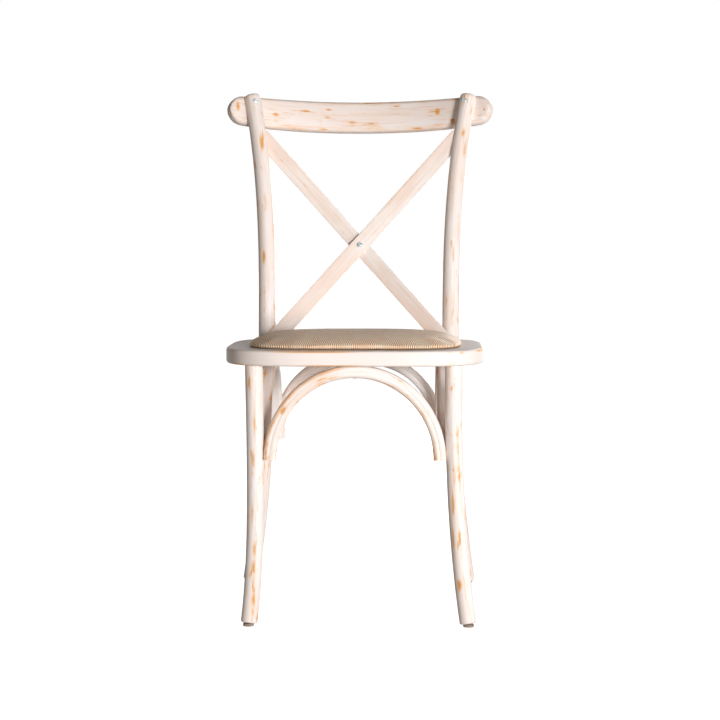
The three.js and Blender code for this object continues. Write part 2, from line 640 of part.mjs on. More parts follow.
const crossNutBar = cut(solidOf(crossNut.mesh.geometry.applyMatrix4(crossNut.mesh.matrix)), crossBolt.room);

// The chair
const chair = new THREE.Group();

function add(name, solid, material) {
  const mesh = new THREE.Mesh(geometryOf(solid), material);
  mesh.name = name;
  chair.add(mesh);
}

add('seat_ring', seatRing, whitePaint());
add('seat_panel', seatPanel, plywood());
add('seat_pad', seatPad, cane());
SIDES.forEach((side, i) => {
  add(`front_leg_${side.name}`, frontLegs[i], whitePaint());
  add(`rear_leg_${side.name}`, rearLegs[i], whitePaint());
  add(`back_strap_${side.name}`, backStraps[i], strapPaint());
  add(`side_arch_${side.name}`, sideArchBars[i], whitePaint());
});
add('front_arch', frontArchBar, whitePaint());
add('rear_arch', rearArchBar, whitePaint());
add('top_rail', topRail, whitePaint());
add('cross_nut', crossNutBar, steel());
const hardware = [
  ...allArchScrews.flatMap(({ all }) => all), ...railScrews, ...legBolts, ...panelScrews,
  crossBolt, ...frontGlides, ...rearGlides,
];
hardware.forEach(({ mesh }) => chair.add(mesh));

// The origin is on the floor, under the middle of the whole chair
const extent = new THREE.Box3().setFromObject(chair);
chair.position.set(-(extent.min.x + extent.max.x) / 2, -(extent.min.y + extent.max.y) / 2, 0);

const group = new THREE.Group();
group.add(chair);

export default group;
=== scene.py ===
# %% [markdown]
# # A cross-back chair in worn white paint
# The chair is bentwood: round rods bent by steam, a rounded seat ring, two thin crossed
# straps and a bent top rail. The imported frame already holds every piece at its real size,
# so each step here makes one piece's finished surface in the same place.

# %% The frame
import math
import bpy
import numpy as np
from mathutils import Matrix, Vector


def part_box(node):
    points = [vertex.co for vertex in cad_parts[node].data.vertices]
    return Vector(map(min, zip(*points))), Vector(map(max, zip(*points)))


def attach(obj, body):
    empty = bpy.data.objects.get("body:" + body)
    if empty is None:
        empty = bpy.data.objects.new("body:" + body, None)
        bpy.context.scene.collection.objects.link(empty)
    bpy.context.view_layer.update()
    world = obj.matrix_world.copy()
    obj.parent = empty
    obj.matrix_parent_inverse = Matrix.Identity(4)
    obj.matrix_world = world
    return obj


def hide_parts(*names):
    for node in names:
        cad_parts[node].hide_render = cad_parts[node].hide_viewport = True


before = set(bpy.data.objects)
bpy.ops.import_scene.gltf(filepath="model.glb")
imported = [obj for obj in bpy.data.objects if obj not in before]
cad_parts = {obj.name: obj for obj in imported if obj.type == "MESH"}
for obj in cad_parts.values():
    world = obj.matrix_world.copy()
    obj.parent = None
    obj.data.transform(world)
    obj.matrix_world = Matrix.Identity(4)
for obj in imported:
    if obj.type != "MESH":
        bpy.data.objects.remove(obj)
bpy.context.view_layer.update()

# %% [markdown]
# Sizes are in metres. The seat ring's box gives the seat's middle and its heights, and the
# rest are the real chair's own bends, so that every rod follows the one in the frame.

# %% Sizes and centrelines
X = Vector((1, 0, 0))
GAP = 0.0003
RING_LOW, RING_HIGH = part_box("seat_ring")
SEAT = (RING_LOW + RING_HIGH) / 2
RING_HALF_WIDTH = (RING_HIGH.x - RING_LOW.x) / 2
RING_HALF_DEPTH = (RING_HIGH.y - RING_LOW.y) / 2
RING_UNDERSIDE = RING_LOW.z
SEAT_TOP = RING_HIGH.z
CHAIR_HEIGHT = 0.889
GLIDE_HEIGHT = 0.005
SIDES = {
    "left": {"sign": -1, "lean": -0.006, "kick": 0.0147, "bend": 4, "splay": 0.036},
    "right": {"sign": 1, "lean": 0.0, "kick": 0.0246, "bend": 2.5, "splay": 0.033},
}
FRONT_LEG_AT = Vector((RING_HALF_WIDTH - 0.053, SEAT.y - RING_HALF_DEPTH + 0.047, 0))
REAR_LEG_AT = Vector((RING_HALF_WIDTH - 0.0507, SEAT.y + RING_HALF_DEPTH - 0.027, 0))


def lerp(start, end, share):
    return start + (end - start) * share


def front_leg_point(side, height):
    drop = max((RING_UNDERSIDE - height) / RING_UNDERSIDE, 0)
    outward = side["lean"] * drop + side["kick"] * drop ** side["bend"]
    return Vector((side["sign"] * (FRONT_LEG_AT.x + outward), FRONT_LEG_AT.y - 0.017 * drop ** 3, height))


def rear_leg_point(side, height):
    drop = max((SEAT.z - height) / SEAT.z, 0)
    rise = max((height - SEAT.z) / (CHAIR_HEIGHT - SEAT.z), 0)
    outward = side["splay"] * drop ** 2.1 + 0.033 * rise ** 2.8
    back = 0.060 * drop ** 2 + 0.085 * rise ** 1.2
    return Vector((side["sign"] * (REAR_LEG_AT.x + outward), REAR_LEG_AT.y + back, height))


print("seat middle", tuple(round(v, 4) for v in SEAT), "seat top", round(SEAT_TOP, 4))

# %% [markdown]
# The photograph was taken from about 3.4 m away with a long lens, a little above the seat
# and a little to the right. The camera goes there first, so that each look is comparable.

# %% Camera
CAMERA_AT = Vector((0.0880, -3.4248, 0.6344))
CAMERA_LEFT = math.radians(1.392)
CAMERA_DOWN = math.radians(3.612)
CAMERA_LENS = 99.2

bpy.ops.object.select_all(action="DESELECT")
bpy.ops.object.camera_add(location=CAMERA_AT, rotation=(math.pi / 2 - CAMERA_DOWN, 0, CAMERA_LEFT))
camera = bpy.context.object
camera.data.lens = CAMERA_LENS
camera.data.sensor_width = 36
bpy.context.scene.camera = camera
bpy.context.scene.view_settings.view_transform = "Standard"
print("camera at", tuple(camera.location), "lens", CAMERA_LENS)

# %% [markdown]
# A node tree is easier to read when each node is one call. These helpers add a node, set its
# sockets (a socket given as a value is linked, a number is written in) and hand back its output.

# %% Node helpers


def add_node(tree, kind, sockets=None, output=0, **settings):
    node = tree.nodes.new(kind)
    for key, value in settings.items():
        setattr(node, key, value)
    for key, value in (sockets or {}).items():
        if isinstance(value, bpy.types.NodeSocket):
            tree.links.new(value, node.inputs[key])
        else:
            node.inputs[key].default_value = value
    return node.outputs[output]


def calc(tree, operation, first, second=0.0, clamp=False):
    return add_node(tree, "ShaderNodeMath", {0: first, 1: second}, operation=operation, use_clamp=clamp)


def noise(tree, vector, scale, detail=4.0, roughness=0.55):
    stretched = add_node(tree, "ShaderNodeVectorMath", {0: vector, 1: scale}, operation="MULTIPLY")
    sockets = {"Vector": stretched, "Scale": 1.0, "Detail": detail, "Roughness": roughness}
    return add_node(tree, "ShaderNodeTexNoise", sockets)


def smooth(tree, value, low, high, to=1.0):
    sockets = {"Value": value, "From Min": low, "From Max": high, "To Min": 0.0, "To Max": to}
    return add_node(tree, "ShaderNodeMapRange", sockets, interpolation_type="SMOOTHSTEP")


def blend(tree, factor, first, second):
    node = tree.nodes.new("ShaderNodeMix")
    node.data_type = "RGBA"
    for socket, value in ((node.inputs[0], factor), (node.inputs[6], first), (node.inputs[7], second)):
        if isinstance(value, bpy.types.NodeSocket):
            tree.links.new(value, socket)
        else:
            socket.default_value = value
    return node.outputs[2]


def colour(red, green, blue):
    # A colour is written as it looks on screen, and the shader wants it linear
    linear = [((c / 255 + 0.055) / 1.055) ** 2.4 if c > 10 else c / 255 / 12.92 for c in (red, green, blue)]
    return (*linear, 1.0)


def surface(name, build):
    material = bpy.data.materials.new(name)
    material.use_nodes = True
    tree = material.node_tree
    shader = tree.nodes["Principled BSDF"]
    for socket, value in build(tree, shader).items():
        tree.links.new(value, shader.inputs[socket])
    return material


def bump(tree, height, distance, strength):
    sockets = {"Height": height, "Distance": distance, "Strength": strength}
    return add_node(tree, "ShaderNodeBump", sockets)


# %% [markdown]
# ## The worn paint
# A thin white wash over honey-coloured wood. Each wooden piece carries two attributes: `grain`
# is where a point lay on the straight stick before it was bent, so streaks run along the
# wood, and `rub` says how hard a place was sanded; on the front arch it also carries a painted
# shade, warm bare-wood colour on the edges turned away from the key light. Noise breaks the rub
# up into ragged patches, and the paint film's height is taken away there, which the bump shows.

# %% Worn paint material


def worn_paint(name, cool, warm, tan, rubbing):
    def build(tree, shader):
        grain = add_node(tree, "ShaderNodeAttribute", attribute_name="grain", output=1)
        rub = add_node(tree, "ShaderNodeAttribute", attribute_name="rub", output=2)
        broad = noise(tree, grain, (22, 22, 5), detail=3.0)
        patch = noise(tree, grain, (95, 95, 24), detail=5.0, roughness=0.6)
        streak = noise(tree, grain, (210, 210, 9), detail=5.0, roughness=0.6)
        fibre = noise(tree, grain, (1500, 1500, 34), detail=3.0)
        paint = blend(tree, smooth(tree, broad, 0.38, 0.64), cool, warm)
        paint = blend(tree, smooth(tree, streak, 0.46, 0.74, 0.7), paint, tan)
        paint = blend(tree, smooth(tree, fibre, 0.5, 0.8, 0.16), paint, tan)
        spread = calc(tree, "MULTIPLY", calc(tree, "SUBTRACT", patch, 0.5), 1.3)
        ragged = calc(tree, "ADD", calc(tree, "ADD", rub, spread),
                      calc(tree, "MULTIPLY", calc(tree, "SUBTRACT", streak, 0.5), 0.9))
        worn = smooth(tree, ragged, 0.42, 0.85, 0.92)
        specks = calc(tree, "ADD", patch, calc(tree, "MULTIPLY", streak, 0.5))
        stray = smooth(tree, specks, rubbing, rubbing + 0.12)
        bare = calc(tree, "MAXIMUM", worn, stray)
        thin_by_rub = smooth(tree, ragged, 0.12, 0.62, 0.6)
        thin_by_chance = smooth(tree, specks, rubbing - 0.1, rubbing + 0.1, 0.5)
        thin = calc(tree, "MAXIMUM", thin_by_rub, thin_by_chance)
        paint = blend(tree, thin, paint, colour(240, 202, 168))
        wood = blend(tree, smooth(tree, fibre, 0.35, 0.7), colour(238, 176, 100), colour(206, 136, 62))
        # On the front arch's edges turned from the light, this bare-wood colour is painted shade as well as
        # wear
        finish = blend(tree, bare, paint, wood)
        film = calc(tree, "SUBTRACT", calc(tree, "ADD", calc(tree, "MULTIPLY", streak, 0.5),
                                           calc(tree, "MULTIPLY", fibre, 0.25)), bare)
        roughness = calc(tree, "ADD", calc(tree, "MULTIPLY", fibre, 0.22),
                         calc(tree, "MULTIPLY", bare, 0.1))
        shader.inputs["Specular IOR Level"].default_value = 0.12
        return {
            "Base Color": finish,
            "Roughness": calc(tree, "ADD", roughness, 0.36),
            "Normal": bump(tree, film, 0.0003, 0.6),
        }
    return surface(name, build)


WHITE_PAINT = worn_paint("white_paint", colour(245, 239, 238), colour(244, 231, 225),
                         colour(234, 203, 184), 0.86)
STRAP_PAINT = worn_paint("strap_paint", colour(245, 238, 235), colour(241, 222, 212),
                         colour(232, 206, 188), 0.95)
print("paints:", WHITE_PAINT.name, STRAP_PAINT.name)

# %% [markdown]
# ## Sweeping a section along a bend
# A bent rod is the same section carried along a curve. By hand one adds the section as a
# filled circle at the first place, then extrudes, turns and scales its face from place to
# place. `sweep` does exactly that, and notes each corner's place on the straight stick.

# %% Helpers for sections and sweeps
ROD_SIDES = 40


def deselect():
    if bpy.context.object and bpy.context.object.mode != "OBJECT":
        bpy.ops.object.mode_set(mode="OBJECT")
    bpy.ops.object.select_all(action="DESELECT")


def add_outline(points, filled=True):
    # A circle with as many corners as the section, each corner then moved into its place
    deselect()
    fill = "NGON" if filled else "NOTHING"
    bpy.ops.mesh.primitive_circle_add(vertices=len(points), radius=1, fill_type=fill)
    piece = bpy.context.object
    for corner, (u, v) in zip(piece.data.vertices, points):
        corner.co = (u, v, 0)
    return piece


def circle_points():
    turns = [2 * math.pi * i / ROD_SIDES for i in range(ROD_SIDES)]
    return [(math.cos(turn) / 2, math.sin(turn) / 2) for turn in turns]


def store(piece, name, values, domain="POINT"):
    vector = values.ndim == 2
    layer = piece.data.attributes.new(name, "FLOAT_VECTOR" if vector else "FLOAT", domain)
    layer.data.foreach_set("vector" if vector else "value", values.astype(np.float32).ravel())


def close_up(piece, angle=40):
    bpy.ops.object.mode_set(mode="EDIT")
    bpy.ops.mesh.select_all(action="SELECT")
    bpy.ops.mesh.remove_doubles(threshold=0.00001)
    bpy.ops.mesh.normals_make_consistent(inside=False)
    bpy.ops.object.mode_set(mode="OBJECT")
    bpy.ops.object.shade_smooth_by_angle(angle=math.radians(angle))
    return piece


def sweep(points, path, sizes, across, grain_from=0.0):
    tangents = [(after - before).normalized() for before, after in
                zip([path[0]] + path[:-1], path[1:] + [path[-1]])]
    along = tangents[0].copy()
    u = (across - along * across.dot(along)).normalized()
    piece = add_outline(points)
    turn = Matrix((u, along.cross(u), along)).transposed().to_4x4()
    piece.matrix_world = Matrix.Translation(path[0]) @ turn @ Matrix.Diagonal((*sizes[0], 1, 1))
    bpy.ops.object.transform_apply()
    bpy.ops.object.mode_set(mode="EDIT")
    bpy.ops.mesh.select_all(action="SELECT")
    length = grain_from
    grain = [(a * sizes[0][0], b * sizes[0][1], length) for a, b in points]
    for i in range(1, len(path)):
        step = path[i] - path[i - 1]
        length += step.length
        bpy.ops.mesh.extrude_region_move(TRANSFORM_OT_translate={"value": step})
        bend = along.rotation_difference(tangents[i])
        if bend.angle > 1e-6:
            side = bend.axis.orthogonal().normalized()
            about = Matrix((side, bend.axis.cross(side), bend.axis)).transposed()
            bpy.ops.transform.rotate(value=-bend.angle, orient_axis="Z", orient_matrix=about,
                                     center_override=path[i])
        along = tangents[i]
        u.rotate(bend)
        ratio = [new / old for new, old in zip(sizes[i], sizes[i - 1])]
        if max(abs(r - 1) for r in ratio) > 1e-6:
            section = Matrix((u, along.cross(u), along)).transposed()
            bpy.ops.transform.resize(value=(*ratio, 1), orient_matrix=section, center_override=path[i])
        grain += [(a * sizes[i][0], b * sizes[i][1], length) for a, b in points]
    bpy.ops.object.mode_set(mode="OBJECT")
    store(piece, "grain", np.array(grain))
    return piece


def corners_of(piece):
    places = np.zeros(3 * len(piece.data.vertices), np.float32)
    piece.data.vertices.foreach_get("co", places)
    return places.reshape(-1, 3)


def vectors_of(piece, name):
    values = np.zeros(3 * len(piece.data.vertices), np.float32)
    piece.data.attributes[name].data.foreach_get("vector", values)
    return values.reshape(-1, 3)


RUB_GAIN = 1.15


# Each rub is a place seen from the front, x and z, half its length along the wood, half its
# width, and how hard it was rubbed
def rub_front(piece, rubs, everywhere=None):
    places = corners_of(piece)
    grain = vectors_of(piece, "grain")
    worn = np.zeros(len(places)) if everywhere is None else everywhere.copy()
    for x, z, length, width, strength in rubs:
        off = np.hypot(places[:, 0] - x, places[:, 2] - z)
        nearest = np.argmin(off + 0.6 * (places[:, 1] - places[:, 1].min()))
        gone = grain - grain[nearest]
        spread = (gone[:, 2] / length) ** 2 + (gone[:, 0] ** 2 + gone[:, 1] ** 2) / width ** 2
        worn = np.maximum(worn, RUB_GAIN * strength * np.exp(-spread))
    store(piece, "rub", worn)


def dress(piece, name, material, nodes):
    piece.name = name
    piece.data.name = name
    piece.data.materials.clear()
    piece.data.materials.append(material)
    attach(piece, "root")
    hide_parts(*nodes)
    print(name, len(piece.data.vertices), "corners")
    return piece


# %% [markdown]
# ## Front legs
# Each is a turned rod that thins a little to its foot and kicks outwards near the floor. The
# foot's rim is rounded over, and the top is let into the ring, so its end isn't seen.

# %% Front legs
FRONT_LEG_TOP = 0.029
FRONT_LEG_FOOT = 0.027
FOOT_ROUND = 0.003
LEG_STEP = 0.006
FRONT_LEG_RUBS = {
    "left": [(-0.1690, 0.389, 0.015, 0.0030, 0.45), (-0.1611, 0.334, 0.045, 0.0025, 0.60),
             (-0.1627, 0.275, 0.022, 0.0040, 0.75), (-0.1612, 0.248, 0.015, 0.0040, 0.45),
             (-0.1639, 0.181, 0.030, 0.0035, 0.55), (-0.1622, 0.123, 0.018, 0.0040, 0.70),
             (-0.1638, 0.097, 0.015, 0.0040, 0.60), (-0.1743, 0.059, 0.015, 0.0040, 0.40)],
    "right": [(0.1760, 0.325, 0.018, 0.0030, 0.40), (0.1648, 0.252, 0.018, 0.0030, 0.35),
              (0.1601, 0.203, 0.030, 0.0030, 0.75), (0.1595, 0.149, 0.045, 0.0030, 0.70),
              (0.1708, 0.070, 0.012, 0.0050, 0.90), (0.1805, 0.105, 0.018, 0.0030, 0.40),
              (0.1805, 0.178, 0.020, 0.0030, 0.40)],
}


def rod_from(point_at, size_at, top, foot, rounding, across, grain_from):
    # Heights run up from the rounded foot
    turns = [math.radians(a) for a in (0, 15, 35, 55, 75)]
    heights = [foot + rounding * (1 - math.cos(t)) for t in turns] + [foot + rounding]
    sizes = [size_at(foot) - 2 * rounding * (1 - math.sin(t)) for t in turns] + [size_at(foot + rounding)]
    count = int((top - foot - rounding) / LEG_STEP)
    for i in range(1, count + 1):
        heights.append(lerp(foot + rounding, top, i / count))
        sizes.append(size_at(heights[-1]))
    path = [point_at(height) for height in heights]
    return sweep(circle_points(), path, [(size, size) for size in sizes], across, grain_from)


for order, (name, side) in enumerate(SIDES.items()):
    leg = rod_from(lambda z: front_leg_point(side, z),
                   lambda z: lerp(FRONT_LEG_FOOT, FRONT_LEG_TOP, z / RING_UNDERSIDE),
                   RING_UNDERSIDE - GAP, GLIDE_HEIGHT, FOOT_ROUND, X, order + 0.0)
    rub_front(leg, FRONT_LEG_RUBS[name])
    dress(close_up(leg), f"painted_front_leg_{name}", WHITE_PAINT, [f"front_leg_{name}"])

# %% [markdown]
# ## Rear legs
# A rear leg and its back post are one long rod, thickest at the seat. Its top is a soft dome,
# which is made by the same sweep with the last sections drawn in along a quarter circle.

# %% Rear legs
REAR_LEG_FOOT = 0.028
REAR_LEG_SEAT = 0.031
REAR_LEG_TOP = 0.029
POST_ROUND = 0.006
DOME_START = CHAIR_HEIGHT - POST_ROUND - 0.0012
REAR_LEG_RUBS = {
    "left": [(-0.1742, 0.811, 0.012, 0.0020, 0.80), (-0.1773, 0.800, 0.018, 0.0045, 0.95),
             (-0.1761, 0.787, 0.020, 0.0030, 0.60), (-0.1695, 0.697, 0.030, 0.0025, 0.40),
             (-0.1703, 0.598, 0.018, 0.0035, 0.65)],
    "right": [(0.2020, 0.857, 0.012, 0.0025, 0.70), (0.1851, 0.816, 0.010, 0.0040, 0.95),
              (0.1880, 0.787, 0.020, 0.0035, 0.70), (0.1830, 0.740, 0.030, 0.0030, 0.40),
              (0.1680, 0.600, 0.020, 0.0030, 0.45)],
}


def rear_leg_size(height):
    if height < RING_UNDERSIDE:
        return lerp(REAR_LEG_FOOT, REAR_LEG_SEAT, height / RING_UNDERSIDE)
    share = (height - RING_UNDERSIDE) / (CHAIR_HEIGHT - RING_UNDERSIDE)
    size = lerp(REAR_LEG_SEAT, REAR_LEG_TOP, share)
    past = min(max((height - DOME_START) / POST_ROUND, 0), 0.985)
    return size - 2 * POST_ROUND * (1 - math.sqrt(1 - past ** 2))


def rear_leg(side, grain_from):
    turns = [math.radians(a) for a in (0, 15, 35, 55, 75)]
    heights = [GLIDE_HEIGHT + FOOT_ROUND * (1 - math.cos(t)) for t in turns]
    sizes = [REAR_LEG_FOOT - 2 * FOOT_ROUND * (1 - math.sin(t)) for t in turns]
    start = GLIDE_HEIGHT + FOOT_ROUND
    count = int((DOME_START - start) / LEG_STEP)
    straight = [lerp(start, DOME_START, i / count) for i in range(count + 1)]
    rounded = [DOME_START + POST_ROUND * math.sin(math.radians(a)) for a in (12, 24, 36, 48, 60, 70, 80)]
    heights += straight + rounded
    sizes += [rear_leg_size(height) for height in straight + rounded]
    path = [rear_leg_point(side, height) for height in heights]
    return sweep(circle_points(), path, [(size, size) for size in sizes], X, grain_from)


for order, (name, side) in enumerate(SIDES.items()):
    post = rear_leg(side, order + 3.0)
    rub_front(post, REAR_LEG_RUBS[name])
    dress(close_up(post), f"painted_rear_leg_{name}", WHITE_PAINT, [f"rear_leg_{name}"])

# %% [markdown]
# ## Seat ring
# A square rounded ring with soft edges, a step inside for the seat panel and a hole for each
# post. The outline is a superellipse. Scaling it about its middle gives every other loop of
# the ring's section, so the ring is one loop of edges, extruded and scaled round the section.

# %% Seat ring
SQUARENESS = 4
OUTLINE_CORNERS = 208
RING_EDGE = 0.004
REBATE = 0.040
REBATE_FLOOR = SEAT_TOP - 0.010
RING_RAIL = 0.088
RING_CHIPS = [
    (0.1567, SEAT_TOP - 0.003, 0.006, 0.6), (0.1741, SEAT_TOP - 0.004, 0.006, 0.8),
    (0.2062, SEAT_TOP - 0.002, 0.008, 1.2), (0.1582, RING_UNDERSIDE + 0.005, 0.008, 0.6),
]


def superellipse(half_width, half_depth, count=OUTLINE_CORNERS):
    # The first corner is at the middle of the back
    points = []
    for i in range(count):
        turn = math.pi / 2 + 2 * math.pi * i / count
        c, s = math.cos(turn), math.sin(turn)
        reach = (abs(c / half_width) ** SQUARENESS + abs(s / half_depth) ** SQUARENESS) ** (-1 / SQUARENESS)
        points.append((c * reach, s * reach))
    return points


def loop_stack(half_width, half_depth, loops, closed):
    # Loops are (margin, height): each is the outline drawn in by its margin
    margin, height = loops[0]
    piece = add_outline(superellipse(half_width - margin, half_depth - margin), filled=False)
    piece.location = (SEAT.x, SEAT.y, height)
    bpy.ops.object.transform_apply()
    bpy.ops.object.mode_set(mode="EDIT")
    bpy.ops.mesh.select_all(action="SELECT")
    for (old, low), (new, high) in zip(loops, loops[1:] + ([loops[0]] if closed else [])):
        bpy.ops.mesh.extrude_region_move(TRANSFORM_OT_translate={"value": (0, 0, high - low)})
        ratio = ((half_width - new) / (half_width - old), (half_depth - new) / (half_depth - old), 1)
        bpy.ops.transform.resize(value=ratio, center_override=(SEAT.x, SEAT.y, high))
    bpy.ops.object.mode_set(mode="OBJECT")
    return piece


def quarter(margin, height, out, up, steps=5):
    # A rounded edge of the ring's section, from one face to the next
    turns = [math.pi / 2 * i / steps for i in range(steps + 1)]
    return [(margin - out * RING_EDGE * math.sin(t), height - up * RING_EDGE * math.cos(t)) for t in turns]


RING_SECTION = [(RING_RAIL - 0.001, RING_UNDERSIDE)]
RING_SECTION += [(m, RING_UNDERSIDE) for m in (0.06, 0.03, 0.012)]
RING_SECTION += quarter(RING_EDGE, RING_UNDERSIDE + RING_EDGE, 1, 1)
RING_SECTION += [(0, lerp(RING_UNDERSIDE, SEAT_TOP, share)) for share in (0.3, 0.5, 0.7)]
RING_SECTION += [(m, z) for m, z in reversed(quarter(RING_EDGE, SEAT_TOP - RING_EDGE, 1, -1))]
RING_SECTION += [(m, SEAT_TOP) for m in (0.012, 0.024, REBATE - 0.001)]
RING_SECTION += [(REBATE, SEAT_TOP - 0.001), (REBATE, REBATE_FLOOR)]
RING_SECTION += [(RING_RAIL - 0.001, REBATE_FLOOR), (RING_RAIL, REBATE_FLOOR - 0.001)]
RING_SECTION += [(RING_RAIL, RING_UNDERSIDE + 0.001)]

ring = loop_stack(RING_HALF_WIDTH, RING_HALF_DEPTH, RING_SECTION, closed=True)
close_up(ring)

# %% Holes for the posts


def bore(piece, path, size):
    drill = sweep(circle_points(), path, [(size, size)] * len(path), X)
    close_up(drill)
    deselect()
    piece.select_set(True)
    bpy.context.view_layer.objects.active = piece
    cut = piece.modifiers.new("bore", "BOOLEAN")
    cut.operation = "DIFFERENCE"
    cut.solver = "EXACT"
    cut.object = drill
    bpy.ops.object.modifier_apply(modifier=cut.name)
    bpy.data.objects.remove(drill)


for side in SIDES.values():
    heights = [lerp(RING_UNDERSIDE - 0.01, SEAT_TOP + 0.01, i / 8) for i in range(9)]
    bore(ring, [rear_leg_point(side, height) for height in heights], REAR_LEG_SEAT + 2 * GAP)
bpy.ops.object.shade_smooth_by_angle(angle=math.radians(40))
print("ring", len(ring.data.polygons), "faces")

# %% [markdown]
# The ring is bent from one long bar, so its grain runs round it and meets at the back. That
# is written on the faces' own corners, so that the pattern may jump at the meeting place.

# %% Grain and rubs of the ring


def ring_grain(piece, radius):
    mesh = piece.data
    places = corners_of(piece)
    grain = np.zeros((len(mesh.loops), 3))
    for face in mesh.polygons:
        turns = []
        for index in face.vertices:
            place = places[index]
            turns.append((math.atan2(place[1] - SEAT.y, place[0] - SEAT.x) - math.pi / 2) % (2 * math.pi))
        if max(turns) - min(turns) > math.pi:
            turns = [turn + 2 * math.pi if turn < math.pi else turn for turn in turns]
        for loop, index, turn in zip(face.loop_indices, face.vertices, turns):
            place = places[index]
            out = math.hypot(place[0] - SEAT.x, place[1] - SEAT.y)
            grain[loop] = (out, place[2], 7.0 + turn * radius)
    store(piece, "grain", grain, "CORNER")


def ring_rubs(piece):
    places = corners_of(piece)
    x, y, z = places[:, 0], places[:, 1], places[:, 2]
    outward = (np.abs((x - SEAT.x) / RING_HALF_WIDTH) ** SQUARENESS
               + np.abs((y - SEAT.y) / RING_HALF_DEPTH) ** SQUARENESS)
    outer = np.clip((outward - 0.86) / 0.06, 0, 1)
    top_edge = np.exp(-((z - SEAT_TOP + 0.0015) / 0.0022) ** 2)
    low_edge = np.exp(-((z - RING_UNDERSIDE - 0.001) / 0.0022) ** 2)
    front = (y < SEAT.y) * 1.0
    top_line = np.exp(-((x + 0.065) / 0.075) ** 4) * front
    low_line = np.exp(-((x + 0.035) / 0.055) ** 4) * front
    low_left = np.exp(-((x + 0.19) / 0.02) ** 2) * front
    worn = outer * (top_edge * (0.24 + 0.55 * top_line) + low_edge * (0.26 + 0.5 * low_line + 0.6 * low_left))
    for place_x, place_z, size, strength in RING_CHIPS:
        spread = ((x - place_x) / size) ** 2 + ((z - place_z) / 0.0025) ** 2
        worn = np.maximum(worn, strength * np.exp(-spread) * front * outer)
    store(piece, "rub", worn)


ring_grain(ring, 0.2)
ring_rubs(ring)
dress(ring, "painted_seat_ring", WHITE_PAINT, ["seat_ring"])

# %% [markdown]
# ## Bars with soft edges
# The arches, the rail and the straps have a flat section with rounded edges. The section
# is drawn as a loop of corners: arcs at the edges, and a few along each face, which let a
# face swell a little or carry a fine groove.

# %% Section of a bar


def bar_section(u_size, v_size, edge, swell=0.0, groove=0.0, face_steps=6, arc_steps=5):
    half = (u_size / 2, v_size / 2)
    corners = [(1, -1, -90), (1, 1, 0), (-1, 1, 90), (-1, -1, 180)]
    points = []
    edges = []
    for i, (su, sv, start) in enumerate(corners):
        centre = (su * (half[0] - edge), sv * (half[1] - edge))
        for k in range(arc_steps + 1):
            turn = math.radians(start + 90 * k / arc_steps)
            points.append((centre[0] + edge * math.cos(turn), centre[1] + edge * math.sin(turn)))
            edges.append(1.0)
        nu, nv, nstart = corners[(i + 1) % 4]
        leave = points[-1]
        turn = math.radians(nstart)
        reach = (nu * (half[0] - edge) + edge * math.cos(turn), nv * (half[1] - edge) + edge * math.sin(turn))
        for k in range(1, face_steps):
            share = k / face_steps
            middle = 1 - abs(2 * share - 1)
            u = lerp(leave[0], reach[0], share)
            v = lerp(leave[1], reach[1], share)
            if abs(leave[0] - reach[0]) < abs(leave[1] - reach[1]):
                u += math.copysign(swell * (middle * (2 - middle)), u)
            elif groove and k == face_steps // 2:
                v -= math.copysign(groove, v)
            points.append((u, v))
            edges.append(0.0)
    return points, np.array(edges)


# %% [markdown]
# ## Arches
# Each arch is half a superellipse bent from one bar, standing against its two legs and
# screwed to the ring at its crown. A fine groove runs along the middle of its flat faces.

# %% Arches
ARCH_THICKNESS = 0.0205
ARCH_WIDTH = 0.027
ARCH_EDGE = 0.006
ARCH_FOOT = 0.270
ARCH_STEPS = 96
ARCH_GROOVE = 0.0007


def arch(name, start, end, squareness, order, rubs, edge_wear_and_shade):
    centre = (start + end) / 2
    across = (end - start).normalized()
    half_span = (end - start).length / 2 - ARCH_THICKNESS / 2
    rise = RING_UNDERSIDE - GAP - ARCH_THICKNESS / 2 - ARCH_FOOT
    path = []
    for i in range(ARCH_STEPS + 1):
        turn = math.pi * (1 - i / ARCH_STEPS)
        reach = math.copysign(abs(math.cos(turn)) ** (2 / squareness), math.cos(turn))
        height = ARCH_FOOT + rise * abs(math.sin(turn)) ** (2 / squareness)
        path.append(Vector((centre.x, centre.y, height)) + across * half_span * reach)
    points, edges = bar_section(ARCH_THICKNESS, ARCH_WIDTH, ARCH_EDGE, groove=ARCH_GROOVE)
    bar = sweep(points, path, [(1, 1)] * len(path), across, order)
    # For the front arch the edge marks hold painted shade as well as wear, and they go into `rub` with it
    everywhere = np.tile(edges, len(path)) * edge_wear_and_shade(corners_of(bar))
    rub_front(bar, rubs, everywhere)
    return dress(close_up(bar, 32), f"painted_{name}", WHITE_PAINT, [name])


def gentle(places):
    return np.full(len(places), 0.22)


def front_arch_edge_wear_and_shade(places):
    # Every edge gets an even 0.2 of real wear. The outer edge on the left half and the inner edge on the
    # right, which face away from the key light, get more: painted shade in bare-wood colour
    left = np.clip(-places[:, 0] / 0.06, 0, 1)
    right = np.clip(places[:, 0] / 0.06, 0, 1)
    radius = np.hypot(places[:, 0], places[:, 2] - ARCH_FOOT + 0.01)
    outer = radius > 0.146
    return 0.2 + 0.34 * left * outer + 0.3 * right * ~outer


